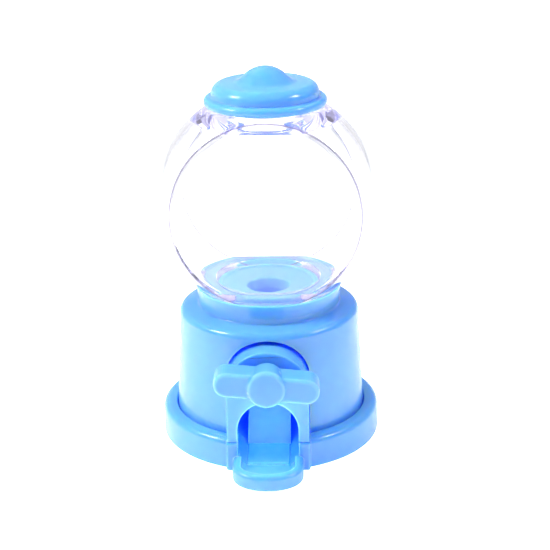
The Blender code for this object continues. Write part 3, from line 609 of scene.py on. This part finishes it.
def painted_rim_mask(tree, place):
    """Rises where the shell is seen edge-on and along the round edges of its two flat faces; it places the
    painted dark lines and painted glow there.
    """
    facing = add_node(tree, "ShaderNodeLayerWeight")
    edge_on = spread(tree, facing, "Facing", RIM_FACING, PAINTED_RIM_STRENGTH)
    split = add_node(tree, "ShaderNodeSeparateXYZ")
    link(tree, place, "Object", split, "Vector")
    depth = add_node(tree, "ShaderNodeMath", operation="ABSOLUTE")
    link(tree, split, "Y", depth, 0)
    flat_span = [globe_high.y - inset for inset in FLAT_EDGE_SPAN]
    near_flat = spread(tree, depth, "Value", flat_span, 1.0)
    reach = add_node(tree, "ShaderNodeVectorMath", operation="DISTANCE")
    link(tree, place, "Object", reach, 0)
    reach.inputs[1].default_value = (0, 0, GLOBE_CENTRE_Z)
    ball_span = [globe_high.x - inset for inset in BALL_EDGE_SPAN]
    near_ball = spread(tree, reach, "Value", ball_span, 1.0)
    corner = product(tree, near_flat, near_ball)
    mask = add_node(tree, "ShaderNodeMath", operation="MAXIMUM")
    link(tree, edge_on, "Result", mask, 0)
    link(tree, corner, "Value", mask, 1)
    return mask


def painted_ring_glow_mask(tree, place):
    """Rises in the thick rings at the shell's top and bottom, where a painted glow lightens them."""
    split = add_node(tree, "ShaderNodeSeparateXYZ")
    link(tree, place, "Object", split, "Vector")
    height = add_node(tree, "ShaderNodeMath", operation="SUBTRACT")
    link(tree, split, "Z", height, 0)
    height.inputs[1].default_value = GLOBE_CENTRE_Z
    size = add_node(tree, "ShaderNodeMath", operation="ABSOLUTE")
    link(tree, height, "Value", size, 0)
    return spread(tree, size, "Value", RING_SPAN, PAINTED_RING_GLOW)


def spread(tree, source, output, span, high):
    """A clamped rise from 0 to high across the span."""
    node = add_node(tree, "ShaderNodeMapRange")
    node.inputs["From Min"].default_value = span[0]
    node.inputs["From Max"].default_value = span[1]
    node.inputs["To Max"].default_value = high
    link(tree, source, output, node, "Value")
    return node


def clear_plastic(name):
    """Clear moulded shell that lets shadow rays through, with faint waviness and scuffs, painted dark lines
    where it is seen edge-on and along its flat faces' edges, and a painted lavender glow in those lines and
    its thick rings.
    """
    material = bpy.data.materials.new(name)
    material.use_nodes = True
    tree = material.node_tree
    shader = tree.nodes["Principled BSDF"]
    place = add_node(tree, "ShaderNodeTexCoord")
    tint = ramp(tree, noise(tree, place, 30.0, 1.0), *CLEAR_TINTS)
    # Painted shade: the colour turns dark along the rim mask.
    rim = add_node(tree, "ShaderNodeMix", data_type="RGBA")
    mask = painted_rim_mask(tree, place)
    link(tree, mask, "Value", rim, "Factor")
    link(tree, tint, "Color", rim, "A")
    rim.inputs["B"].default_value = PAINTED_RIM_SHADE_COLOUR
    link(tree, rim, "Result", shader, "Base Color")
    # Painted glow: a lavender emission along the rim mask and in the thick rings.
    painted_glow = add_node(tree, "ShaderNodeMath", operation="MULTIPLY_ADD")
    link(tree, mask, "Value", painted_glow, 0)
    painted_glow.inputs[1].default_value = PAINTED_RIM_GLOW
    link(tree, painted_ring_glow_mask(tree, place), "Result", painted_glow, 2)
    link(tree, painted_glow, "Value", shader, "Emission Strength")
    shader.inputs["Emission Color"].default_value = PAINTED_GLOW_COLOUR
    gloss = ramp(tree, noise(tree, place, 120.0, 3.0), grey(0.0), grey(0.035))
    link(tree, gloss, "Color", shader, "Roughness")
    wave = add_node(tree, "ShaderNodeBump")
    wave.inputs["Strength"].default_value = 0.08
    wave.inputs["Distance"].default_value = 0.0002
    link(tree, noise(tree, place, 55.0, 1.0), "Fac", wave, "Height")
    link(tree, wave, "Normal", shader, "Normal")
    shader.inputs["IOR"].default_value = 1.5
    shader.inputs["Transmission Weight"].default_value = 1.0
    depth = add_node(tree, "ShaderNodeVolumeAbsorption")
    depth.inputs["Color"].default_value = CLEAR_DEPTH_COLOUR
    depth.inputs["Density"].default_value = CLEAR_DENSITY
    link(tree, depth, "Volume", tree.nodes["Material Output"], "Volume")
    path = add_node(tree, "ShaderNodeLightPath")
    opacity = add_node(tree, "ShaderNodeMath", operation="MULTIPLY_ADD")
    opacity.inputs[1].default_value = -SHADOW_PASS
    opacity.inputs[2].default_value = 1.0
    link(tree, path, "Is Shadow Ray", opacity, 0)
    link(tree, opacity, "Value", shader, "Alpha")
    return material


def zinc_steel(name):
    """Zinc-plated screw steel with fine turning marks."""
    material = bpy.data.materials.new(name)
    material.use_nodes = True
    tree = material.node_tree
    shader = tree.nodes["Principled BSDF"]
    place = add_node(tree, "ShaderNodeTexCoord")
    tone = ramp(tree, noise(tree, place, 700.0, 4.0), *STEEL_TONES)
    link(tree, tone, "Color", shader, "Base Color")
    gloss = ramp(tree, noise(tree, place, 1500.0, 3.0), grey(0.24), grey(0.42))
    link(tree, gloss, "Color", shader, "Roughness")
    marks = add_node(tree, "ShaderNodeTexWave", bands_direction="Z")
    marks.inputs["Scale"].default_value = 1200.0
    marks.inputs["Distortion"].default_value = 2.0
    link(tree, place, "Object", marks, "Vector")
    bump = add_node(tree, "ShaderNodeBump")
    bump.inputs["Strength"].default_value = 0.12
    bump.inputs["Distance"].default_value = 0.00005
    link(tree, marks, "Fac", bump, "Height")
    link(tree, bump, "Normal", shader, "Normal")
    shader.inputs["Metallic"].default_value = 1.0
    return material


# ---------------------------------------------------------------- lid and globe


def lid_profile():
    """From the top of the knob down the outside, then up inside the cap."""
    top = lid_high.z
    rim = lid_high.x
    cap_edge = math.degrees(math.asin(KNOB_CAP_RADIUS / KNOB_CURVE))
    knob = arc(0, top - KNOB_CURVE, KNOB_CURVE, 90, 90 - cap_edge, 14)
    knob[0] = (0, top)
    knob.extend(arc(KNOB_FOOT, LID_PLATEAU_Z + KNOB_BLEND, KNOB_BLEND, 270 - cap_edge, 270, 10))
    corners = [
        (KNOB_FOOT, LID_PLATEAU_Z, 0),
        (LID_DOME_RADIUS, LID_PLATEAU_Z - 0.15 * MM, LID_SHOULDER),
        (LID_DOME_RADIUS, LID_FLANGE_TOP, 0.25 * MM),
        (rim, LID_FLANGE_TOP - 0.1 * MM, 1.0 * MM),
        (rim, lid_low.z, 0.9 * MM),
        (LID_BORE, lid_low.z, 0.2 * MM),
        (LID_BORE, LID_CEILING, 0.3 * MM),
        (0, LID_CEILING, 0),
    ]
    return knob + filleted(corners, False)[1:]


def build_lid(material):
    shape = turned("lid_form", lid_profile(), group=LOOKS, closed=False)
    dress(baked(shape, "lid_cap"), "lid", material)


def ball_angle(radius, z):
    """Degrees above the ball's middle at which its surface has a height."""
    return math.degrees(math.asin((z - GLOBE_CENTRE_Z) / radius))


def globe_profile():
    """The closed section of the ball's wall with its thick top and bottom rings."""
    outer = globe_high.x
    inner = outer - GLOBE_WALL
    top = globe_high.z
    bottom = globe_low.z
    path = filleted([
        (NECK_BORE, GLOBE_TOP_SHELF_Z + 1 * MM, 0),
        (NECK_BORE, top, 0.3 * MM),
        (NECK_RADIUS, top, 0.4 * MM),
        (NECK_RADIUS, GLOBE_TOP_Z, 0.3 * MM),
        (NECK_RADIUS + 2.4 * MM, GLOBE_TOP_Z, 0),
    ], False)
    path = path[:-1]
    first = ball_angle(outer, GLOBE_TOP_Z)
    path.extend(arc(0, GLOBE_CENTRE_Z, outer, first, ball_angle(outer, bottom), 80))
    path.append((GLOBE_FEED_HOLE, bottom))
    path.append((GLOBE_FEED_HOLE, GLOBE_BOTTOM_SHELF_Z - 0.2 * MM))
    path.append((GLOBE_FEED_HOLE + 0.2 * MM, GLOBE_BOTTOM_SHELF_Z))
    low = ball_angle(inner, GLOBE_BOTTOM_SHELF_Z + 0.4 * MM)
    high = ball_angle(inner, GLOBE_TOP_SHELF_Z - 0.4 * MM)
    wall = arc(0, GLOBE_CENTRE_Z, inner, low, high, 76)
    path.append((wall[0][0] - 0.7 * MM, GLOBE_BOTTOM_SHELF_Z))
    path.append((wall[0][0] - 0.25 * MM, GLOBE_BOTTOM_SHELF_Z + 0.1 * MM))
    path.extend(wall)
    path.append((wall[-1][0] - 0.25 * MM, GLOBE_TOP_SHELF_Z - 0.1 * MM))
    path.append((wall[-1][0] - 0.7 * MM, GLOBE_TOP_SHELF_Z))
    path.append((NECK_BORE + 0.25 * MM, GLOBE_TOP_SHELF_Z))
    path.append((NECK_BORE, GLOBE_TOP_SHELF_Z + 0.25 * MM))
    return path


def press_flat(y, limit, sharpness):
    """Holds y below the limit, with a short rounded turn into the flat."""
    share = abs(y) / limit
    return y / (1 + share ** sharpness) ** (1 / sharpness)


def build_globe(material):
    shape = turned("globe_form", globe_profile(), 256, LOOKS)
    piece = baked(shape, "globe_shell")
    flat = globe_high.y
    inner_limit = globe_high.x - GLOBE_WALL / 2
    centre = Vector((0, 0, GLOBE_CENTRE_Z))
    for vertex in piece.data.vertices:
        outside = (vertex.co - centre).length > inner_limit
        if outside:
            vertex.co.y = press_flat(vertex.co.y, flat, OUTER_FLAT_SHARPNESS)
        else:
            vertex.co.y = press_flat(vertex.co.y, flat - GLOBE_WALL, INNER_FLAT_SHARPNESS)
    dress(piece, "globe", material)


# ---------------------------------------------------------------- body


def seat_radius(z):
    """The radius of the hollow that the ball sits in, at a height."""
    ball = globe_high.x + 0.3 * MM
    return math.sqrt(ball ** 2 - (GLOBE_CENTRE_Z - z) ** 2)


def body_profile():
    """The closed section of wall, shoulder, collar and seat."""
    foot = body_high.x
    bottom = body_low.z
    lip = body_high.z
    shoulder = SHOULDER_Z
    return filleted([
        (COLLAR_LIP_RADIUS, lip, 0.12 * MM),
        (COLLAR_FOOT_RADIUS + 0.2 * MM, lip - 1.9 * MM, 2.0 * MM),
        (COLLAR_FOOT_RADIUS, COLLAR_FOOT_Z + 1.4 * MM, 1.0 * MM),
        (COLLAR_FOOT_RADIUS, COLLAR_FOOT_Z, 0.5 * MM),
        (BODY_TOP_RADIUS, shoulder, 1.7 * MM),
        (foot, RING_TOP, 0),
        (foot, bottom, 0.2 * MM),
        (foot - BODY_WALL, bottom, 0.2 * MM),
        (foot - BODY_WALL, RING_TOP, 0),
        (BODY_TOP_RADIUS - BODY_WALL, shoulder - 1.6 * MM, 0.6 * MM),
        (COLLAR_INNER, COLLAR_FOOT_Z - BODY_WALL, 0),
        (COLLAR_INNER, SEAT_UNDERSIDE, 0),
        (SEAT_HOLE, SEAT_UNDERSIDE, 0),
        (SEAT_HOLE, SEAT_Z, 0.2 * MM),
        (seat_radius(SEAT_Z), SEAT_Z, 0),
        (seat_radius(SEAT_Z + 0.7 * MM), SEAT_Z + 0.7 * MM, 0),
    ], True)


def build_body(material):
    shape = turned("body_form", body_profile(), group=LOOKS)
    opening = round_top_outline(CUTOUT_HALF_WIDTH, 0, CUTOUT_ROUND_Z, 64)
    cut(shape, prism("cutout", opening, -30 * MM, -14 * MM, plane="XZ"))
    dress(baked(shape, "body_drum"), "body_shell", material)


# ---------------------------------------------------------------- base


def base_profile():
    """Half the section of foot and ring, from the axis out and back."""
    outer = base_high.x
    return filleted([
        (0, FLOOR, 0),
        (RING_INNER, FLOOR, 0),
        (RING_INNER, RING_TOP, 0.45 * MM),
        (outer - 0.1 * MM, RING_TOP, 1.6 * MM),
        (outer, 0, 0.35 * MM),
        (0, 0, 0),
    ], False)


def build_base(material):
    """Round foot with a ring, and the block, tray and passage in front."""
    shape = turned("base_form", base_profile(), group=LOOKS, closed=False)
    block_low = (-BLOCK_HALF_WIDTH, BLOCK_FRONT, FOOT_LIFT)
    block = box("block", block_low, (BLOCK_HALF_WIDTH, BLOCK_BACK, BLOCK_TOP))
    round_edges(block, 0.5 * MM)
    outer = tray_outline(TRAY_HALF_WIDTH, base_low.y, BLOCK_FRONT + 1 * MM)
    tray = prism("tray_outer", outer, FOOT_LIFT, TRAY_RIM)
    round_edges(tray, 1.1 * MM, 6)
    trim_half = BLOCK_HALF_WIDTH - 0.04 * MM
    trim_low = (-trim_half, -40 * MM, BLOCK_TOP - 0.06 * MM)
    cut(shape, box("ring_trim", trim_low, (trim_half, -RING_INNER + 2.5 * MM, 20 * MM)))
    join(shape, block, tray)
    inner = tray_outline(TRAY_HALF_WIDTH - TRAY_WALL, base_low.y + TRAY_WALL, BLOCK_BACK - 0.5 * MM)
    hollow = prism("tray_hollow", inner, FLOOR + 0.03 * MM, 10 * MM)
    round_edges(hollow, 1.4 * MM, 6)
    passage_low = (-ARCH_HALF_WIDTH, BLOCK_FRONT - 0.02 * MM, FLOOR + 0.01 * MM)
    passage = box("passage", passage_low, (ARCH_HALF_WIDTH, BLOCK_BACK + 1 * MM, 10 * MM))
    cut(shape, hollow, passage)
    strip_low = (-STRIP_HALF_WIDTH, STRIP_FRONT, FLOOR - 0.4 * MM)
    strip = box("strip", strip_low, (STRIP_HALF_WIDTH, STRIP_BACK, STRIP_TOP))
    round_edges(strip, 0.3 * MM)
    join(shape, strip)
    dress(baked(shape, "base_tray"), "base", material)


# ---------------------------------------------------------------- housing, handle, hopper, ramp


def build_housing(material):
    """Hollow cover with a bush for the shaft and an arch for the chute."""
    outline = round_top_outline(HOUSING_HALF_WIDTH, BLOCK_TOP + SEAM, HOUSING_ROUND_Z, 48)
    shape = prism("housing_form", outline, HOUSING_FRONT, housing_high.y, "XZ", LOOKS)
    round_edges(shape, HOUSING_ROUND, 6)
    inner = round_top_outline(HOUSING_HALF_WIDTH - HOUSING_WALL, 0, HOUSING_ROUND_Z, 48)
    hollow = prism("housing_hollow", inner, HOUSING_FRONT + HOUSING_WALL, 0, "XZ")
    bush = rod("bush", along_axis(HOUSING_FRONT + 0.8 * MM), along_axis(BUSH_BACK), BUSH_RADIUS)
    arch_outline = round_top_outline(ARCH_HALF_WIDTH, 0, ARCH_ROUND_Z, 48)
    arch = prism("arch", arch_outline, HOUSING_FRONT - 1 * MM, HOUSING_FRONT + 2.5 * MM, "XZ")
    hole = rod("shaft_hole", along_axis(-30 * MM), along_axis(-10 * MM), SHAFT_HOLE)
    cut(shape, hollow)
    join(shape, bush)
    cut(shape, arch, hole)
    dress(baked(shape, "housing_cover"), "front_housing", material)


def along_axis(y):
    return (0, y, AXIS_Z)


def build_handle(material):
    """Bar and boss, fused and softened, on the shaft."""
    grip = prism("grip", stadium_outline(BAR_LENGTH, BAR_HEIGHT), BAR_FRONT, BAR_BACK, "XZ", LOOKS)
    grip.data.transform(Matrix.Translation((0, 0, AXIS_Z)))
    round_edges(grip, 0.7 * MM)
    boss_back = along_axis(BAR_BACK + 0.05 * MM)
    boss = cone("boss", along_axis(handle_low.y), boss_back, BOSS_RADIUS, BOSS_BACK_RADIUS)
    round_edges(boss, 0.8 * MM)
    join(grip, boss)
    join(grip, rod("shaft", along_axis(BAR_BACK - 1 * MM), along_axis(SHAFT_BACK), SHAFT_RADIUS, 48))
    remesh = grip.modifiers.new("skin", "REMESH")
    remesh.mode = "VOXEL"
    remesh.voxel_size = SKIN_CELL
    soften = grip.modifiers.new("soften", "SMOOTH")
    soften.factor = 0.5
    soften.iterations = 10
    centre = Vector((0, 0, AXIS_Z))
    turn = Matrix.Translation(centre) @ Matrix.Rotation(REST_TURN, 4, "Y") @ Matrix.Translation(-centre)
    piece = baked(grip, "turn_handle", turn)
    dress(piece, "handle", material)


def hopper_profile():
    """The closed section of dish, flange and spout."""
    rim = HOPPER_RIM_RADIUS
    top = hopper_high.z
    return filleted([
        (rim, top, 0.35 * MM),
        (rim, HOPPER_FLANGE_TOP, 0.3 * MM),
        (FLANGE_RADIUS, HOPPER_FLANGE_TOP, 0.2 * MM),
        (FLANGE_RADIUS, HOPPER_FLANGE_TOP - FLANGE_THICKNESS, 0.2 * MM),
        (SPOUT_RADIUS, HOPPER_FLANGE_TOP - FLANGE_THICKNESS, 0),
        (SPOUT_RADIUS, AXIS_Z + 3 * MM, 0),
        (HOPPER_SPOUT_BORE, AXIS_Z + 3 * MM, 0),
        (HOPPER_SPOUT_BORE, HOPPER_HOLE_Z - 2.4 * MM, 0.6 * MM),
        (HOPPER_HOLE, HOPPER_HOLE_Z, 0.7 * MM),
        (rim - 1.4 * MM, top - 0.35 * MM, 0.8 * MM),
        (rim - 1.1 * MM, top, 0.3 * MM),
    ], True)


def build_hopper(material):
    """Dish and spout with the upper half of the drum's housing."""
    shape = turned("hopper_form", hopper_profile(), 128, LOOKS)
    split = AXIS_Z + CLAMP_GAP
    start = math.degrees(math.asin(CLAMP_GAP / CLAMP_RADIUS))
    pipe_outline = arc(0, AXIS_Z, CLAMP_RADIUS, start, 180 - start, 48)
    pipe = prism("upper_pipe", pipe_outline, -CLAMP_HALF_LENGTH, CLAMP_HALF_LENGTH, "XZ")
    ears_outline = arc(EAR_X, 0, EAR_RADIUS, -90, 90, 16) + arc(-EAR_X, 0, EAR_RADIUS, 90, 270, 16)
    join(shape, pipe, prism("upper_ears", ears_outline, split, split + EAR_THICKNESS))
    reach = CLAMP_HALF_LENGTH + 1 * MM
    bore = rod("upper_bore", along_axis(-reach), along_axis(reach), CLAMP_BORE, 72)
    spout = rod("spout_bore", along_axis(0), (0, 0, HOPPER_FLANGE_TOP - 1 * MM), HOPPER_SPOUT_BORE, 96)
    cut(shape, bore, spout)
    for side in (-1, 1):
        x = side * EAR_X
        low = (x, 0, split - 1 * MM)
        high = (x, 0, split + 3 * MM)
        cut(shape, rod(f"ear_hole_{side}", low, high, PILOT_RADIUS, 24))
    dress(baked(shape, "hopper_dish"), "hopper", material)


def build_ramp(material):
    """Steep panel with soft edges, a nearly level run under the drum, side guards and two legs."""
    foot = RAMP_FOOT
    bend = RAMP_BEND
    back = RAMP_BACK
    steep = math.atan2(bend[1] - foot[1], bend[0] - foot[0])
    corners = [
        (foot[0], foot[1], 0.05 * MM),
        (foot[0] + RAMP_WALL / math.sin(steep), foot[1], 0.2 * MM),
        (bend[0] + 0.5 * MM, bend[1] - RAMP_WALL, 0),
        (back[0], back[1] - RAMP_WALL, 0.3 * MM),
        (back[0], back[1], 0.3 * MM),
        (bend[0], bend[1], 2.5 * MM),
    ]
    half = ramp_high.x
    shape = prism("ramp_form", filleted(corners, True), -half, half, "YZ", LOOKS)
    round_edges(shape, 0.5 * MM, 5, 60)
    for side in (-1, 1):
        outer = side * half * 0.99
        inner = outer - side * 0.9 * MM
        low = (min(inner, outer), bend[0] + 0.6 * MM, bend[1] - 0.6 * MM)
        high = (max(inner, outer), back[0] - 0.3 * MM, back[1] + 2.6 * MM)
        guard = box(f"guard_{side}", low, high)
        round_edges(guard, 0.3 * MM)
        join(shape, guard)
    back_guard = box(
        "guard_back",
        (-half * 0.97, back[0] - 1.2 * MM, back[1] - 0.7 * MM),
        (half * 0.97, back[0] - 0.4 * MM, back[1] + 2.5 * MM),
    )
    join(shape, back_guard)
    for y in LEG_PLACES:
        join(shape, rod(f"leg_{y}", (0, y, ramp_low.z), (0, y, bend[1] - 0.4 * MM), LEG_RADIUS, 40))
    for y in LEG_PLACES:
        cut(shape, rod(f"leg_pilot_{y}", (0, y, 0), (0, y, LEG_PILOT_TOP), PILOT_RADIUS, 24))
    dress(baked(shape, "chute_slide"), "chute_ramp", material)


# ---------------------------------------------------------------- studio


def emission_world():
    """A bright room behind the object, dimmer towards the camera, overhead and to the right.

    Rays through the clear shell see their own, nearly even brightness. The backdrop itself is white.
    """
    world = bpy.data.worlds.new("studio")
    bpy.context.scene.world = world
    world.use_nodes = True
    tree = world.node_tree
    background = tree.nodes["Background"]
    place = add_node(tree, "ShaderNodeTexCoord")
    split = add_node(tree, "ShaderNodeSeparateXYZ")
    link(tree, place, "Generated", split, "Vector")
    depth = fade(tree, split, "Y", (-0.1, 0.7), (WORLD_FRONT, 1.0))
    height = fade(tree, split, "Z", (0.0, 0.3), (1.0, WORLD_TOP))
    side = fade(tree, split, "X", (-0.2, 0.9), (1.0, WORLD_RIGHT))
    room = product(tree, product(tree, depth, height), side)
    through = fade(tree, split, "Y", GLASS_SPAN, (GLASS_FRONT, 1.0))
    path = add_node(tree, "ShaderNodeLightPath")
    seen = add_node(tree, "ShaderNodeMix", data_type="FLOAT")
    link(tree, path, "Is Transmission Ray", seen, "Factor")
    link(tree, room, "Value", seen, "A")
    link(tree, through, "Result", seen, "B")
    choose = add_node(tree, "ShaderNodeMix", data_type="FLOAT")
    link(tree, path, "Is Camera Ray", choose, "Factor")
    link(tree, seen, "Result", choose, "A")
    choose.inputs["B"].default_value = WORLD_SEEN
    link(tree, choose, "Result", background, "Strength")
    dim = add_node(tree, "ShaderNodeMix", data_type="RGBA")
    glass = add_node(tree, "ShaderNodeMath", operation="MAXIMUM")
    link(tree, path, "Is Transmission Ray", glass, 0)
    link(tree, path, "Is Glossy Ray", glass, 1)
    link(tree, glass, "Value", dim, "Factor")
    dim.inputs["A"].default_value = ROOM_COLOUR
    dim.inputs["B"].default_value = SHADE_COLOUR
    tint = add_node(tree, "ShaderNodeMix", data_type="RGBA")
    link(tree, dim, "Result", tint, "A")
    tint.inputs["B"].default_value = (1, 1, 1, 1)
    link(tree, choose, "Result", tint, "Factor")
    link(tree, tint, "Result", background, "Color")


def fade(tree, source, output, span, values):
    """A smooth change of strength along one direction."""
    node = add_node(tree, "ShaderNodeMapRange", interpolation_type="SMOOTHSTEP")
    node.inputs["From Min"].default_value = span[0]
    node.inputs["From Max"].default_value = span[1]
    node.inputs["To Min"].default_value = values[0]
    node.inputs["To Max"].default_value = values[1]
    link(tree, source, output, node, "Value")
    return node


def product(tree, first, second):
    node = add_node(tree, "ShaderNodeMath", operation="MULTIPLY")
    link(tree, first, 0, node, 0)
    link(tree, second, 0, node, 1)
    return node


def glow_light(name, location, radius, power):
    """A small lamp for the light that the translucent plastic passes on."""
    data = bpy.data.lights.new(name, "POINT")
    data.energy = power
    data.shadow_soft_size = radius
    data.color = GLOW_COLOUR
    lamp = bpy.data.objects.new(name, data)
    bpy.context.scene.collection.objects.link(lamp)
    lamp.location = location
    lamp.visible_camera = False
    lamp.visible_glossy = False
    return lamp


def area_light(name, location, size, power):
    """A square softbox that points at the middle of the object."""
    data = bpy.data.lights.new(name, "AREA")
    data.shape = "SQUARE"
    data.size = size
    data.energy = power
    lamp = bpy.data.objects.new(name, data)
    bpy.context.scene.collection.objects.link(lamp)
    lamp.location = location
    aim = Vector(AIM) - Vector(location)
    lamp.rotation_euler = aim.to_track_quat("-Z", "Y").to_euler()
    return lamp


def build_studio():
    """Room, two softboxes, overhead light and the light inside the translucent walls."""
    emission_world()
    area_light("left_softbox", LEFT_PLACE, LEFT_SIZE, LEFT_POWER)
    area_light("right_softbox", RIGHT_PLACE, RIGHT_SIZE, RIGHT_POWER)
    overhead = area_light("overhead", TOP_PLACE, TOP_SIZE, TOP_POWER)
    overhead.visible_glossy = False
    overhead.visible_transmission = False
    glow_light("body_glow", BODY_GLOW_PLACE, 2 * MM, BODY_GLOW)
    tray_fill = glow_light("tray_fill", TRAY_FILL_PLACE, 3 * MM, TRAY_FILL)
    tray_fill.data.color = TRAY_FILL_COLOUR
    glow_light("rear_glow", REAR_GLOW_PLACE, 3 * MM, REAR_GLOW)
    bpy.context.scene.view_settings.view_transform = "Standard"


def build_floor():
    """A pale floor that looks white and lights the object less than it shows."""
    bpy.ops.mesh.primitive_plane_add(size=FLOOR_SIZE, location=(0, 0, -FLOOR_DROP))
    floor = bpy.context.object
    floor.name = "floor"
    material = bpy.data.materials.new("floor_white")
    material.use_nodes = True
    tree = material.node_tree
    shader = tree.nodes["Principled BSDF"]
    place = add_node(tree, "ShaderNodeTexCoord")
    tone = ramp(tree, noise(tree, place, 6.0), grey(0.93), grey(0.95))
    link(tree, tone, "Color", shader, "Base Color")
    shader.inputs["Roughness"].default_value = 0.8
    shader.inputs["Emission Color"].default_value = (1, 1, 1, 1)
    path = add_node(tree, "ShaderNodeLightPath")
    glow = add_node(tree, "ShaderNodeMix", data_type="FLOAT")
    link(tree, path, "Is Camera Ray", glow, "Factor")
    glow.inputs["A"].default_value = FLOOR_LIGHT
    glow.inputs["B"].default_value = FLOOR_SEEN
    link(tree, glow, "Result", shader, "Emission Strength")
    floor.data.materials.append(material)


def light_paths():
    """Enough bounces for the thick clear rings."""
    paths = bpy.context.scene.cycles
    paths.max_bounces = LIGHT_BOUNCES
    paths.transmission_bounces = LIGHT_BOUNCES
    paths.glossy_bounces = LIGHT_BOUNCES


def build_camera():
    """Looks down at the front from a little to the right."""
    data = bpy.data.cameras.new("camera")
    data.lens = CAMERA_LENS
    data.sensor_width = SENSOR_WIDTH
    data.shift_x = CAMERA_SHIFT_X
    data.shift_y = CAMERA_SHIFT_Y
    data.clip_start = 0.01
    data.clip_end = 10.0
    camera = bpy.data.objects.new("camera", data)
    bpy.context.scene.collection.objects.link(camera)
    forward = Vector((
        -math.sin(CAMERA_AZIMUTH) * math.cos(CAMERA_TILT),
        math.cos(CAMERA_AZIMUTH) * math.cos(CAMERA_TILT),
        -math.sin(CAMERA_TILT),
    ))
    right = forward.cross(Vector((0, 0, 1))).normalized()
    up = right.cross(forward)
    side = right * math.cos(CAMERA_ROLL) + up * math.sin(CAMERA_ROLL)
    top = up * math.cos(CAMERA_ROLL) - right * math.sin(CAMERA_ROLL)
    matrix = Matrix((side, top, -forward)).transposed().to_4x4()
    matrix.translation = Vector(CAMERA_PLACE) * MM
    camera.matrix_world = matrix
    bpy.context.scene.camera = camera


blue = plastic("blue_moulded", BLUE, BLUE_ROUGHNESS)
pale_blue = plastic("pale_blue_moulded", PALE_BLUE, PALE_ROUGHNESS)
blue_grip = plastic("blue_grip", BLUE, BLUE_ROUGHNESS, dense=True)
# The ramp material carries the painted sheen of the chute's steep face.
ramp_painted_sheen_blue = plastic("ramp_painted_sheen_blue_moulded", RAMP_PAINTED_SHEEN_BLUE, PALE_ROUGHNESS)
clear = clear_plastic("clear_moulded")
steel = zinc_steel("zinc_steel")

build_lid(blue)
build_globe(clear)
build_body(blue)
build_base(blue)
build_housing(blue)
build_handle(blue_grip)
build_hopper(pale_blue)
build_ramp(ramp_painted_sheen_blue)
clear_cutters()

for name, node in nodes.items():
    material = steel if "screw" in name else pale_blue
    node.data.materials.clear()
    node.data.materials.append(material)
    node.data.shade_smooth()
    node.data.set_sharp_from_angle(angle=SMOOTH_LIMIT)

build_studio()
light_paths()
build_floor()
build_camera()
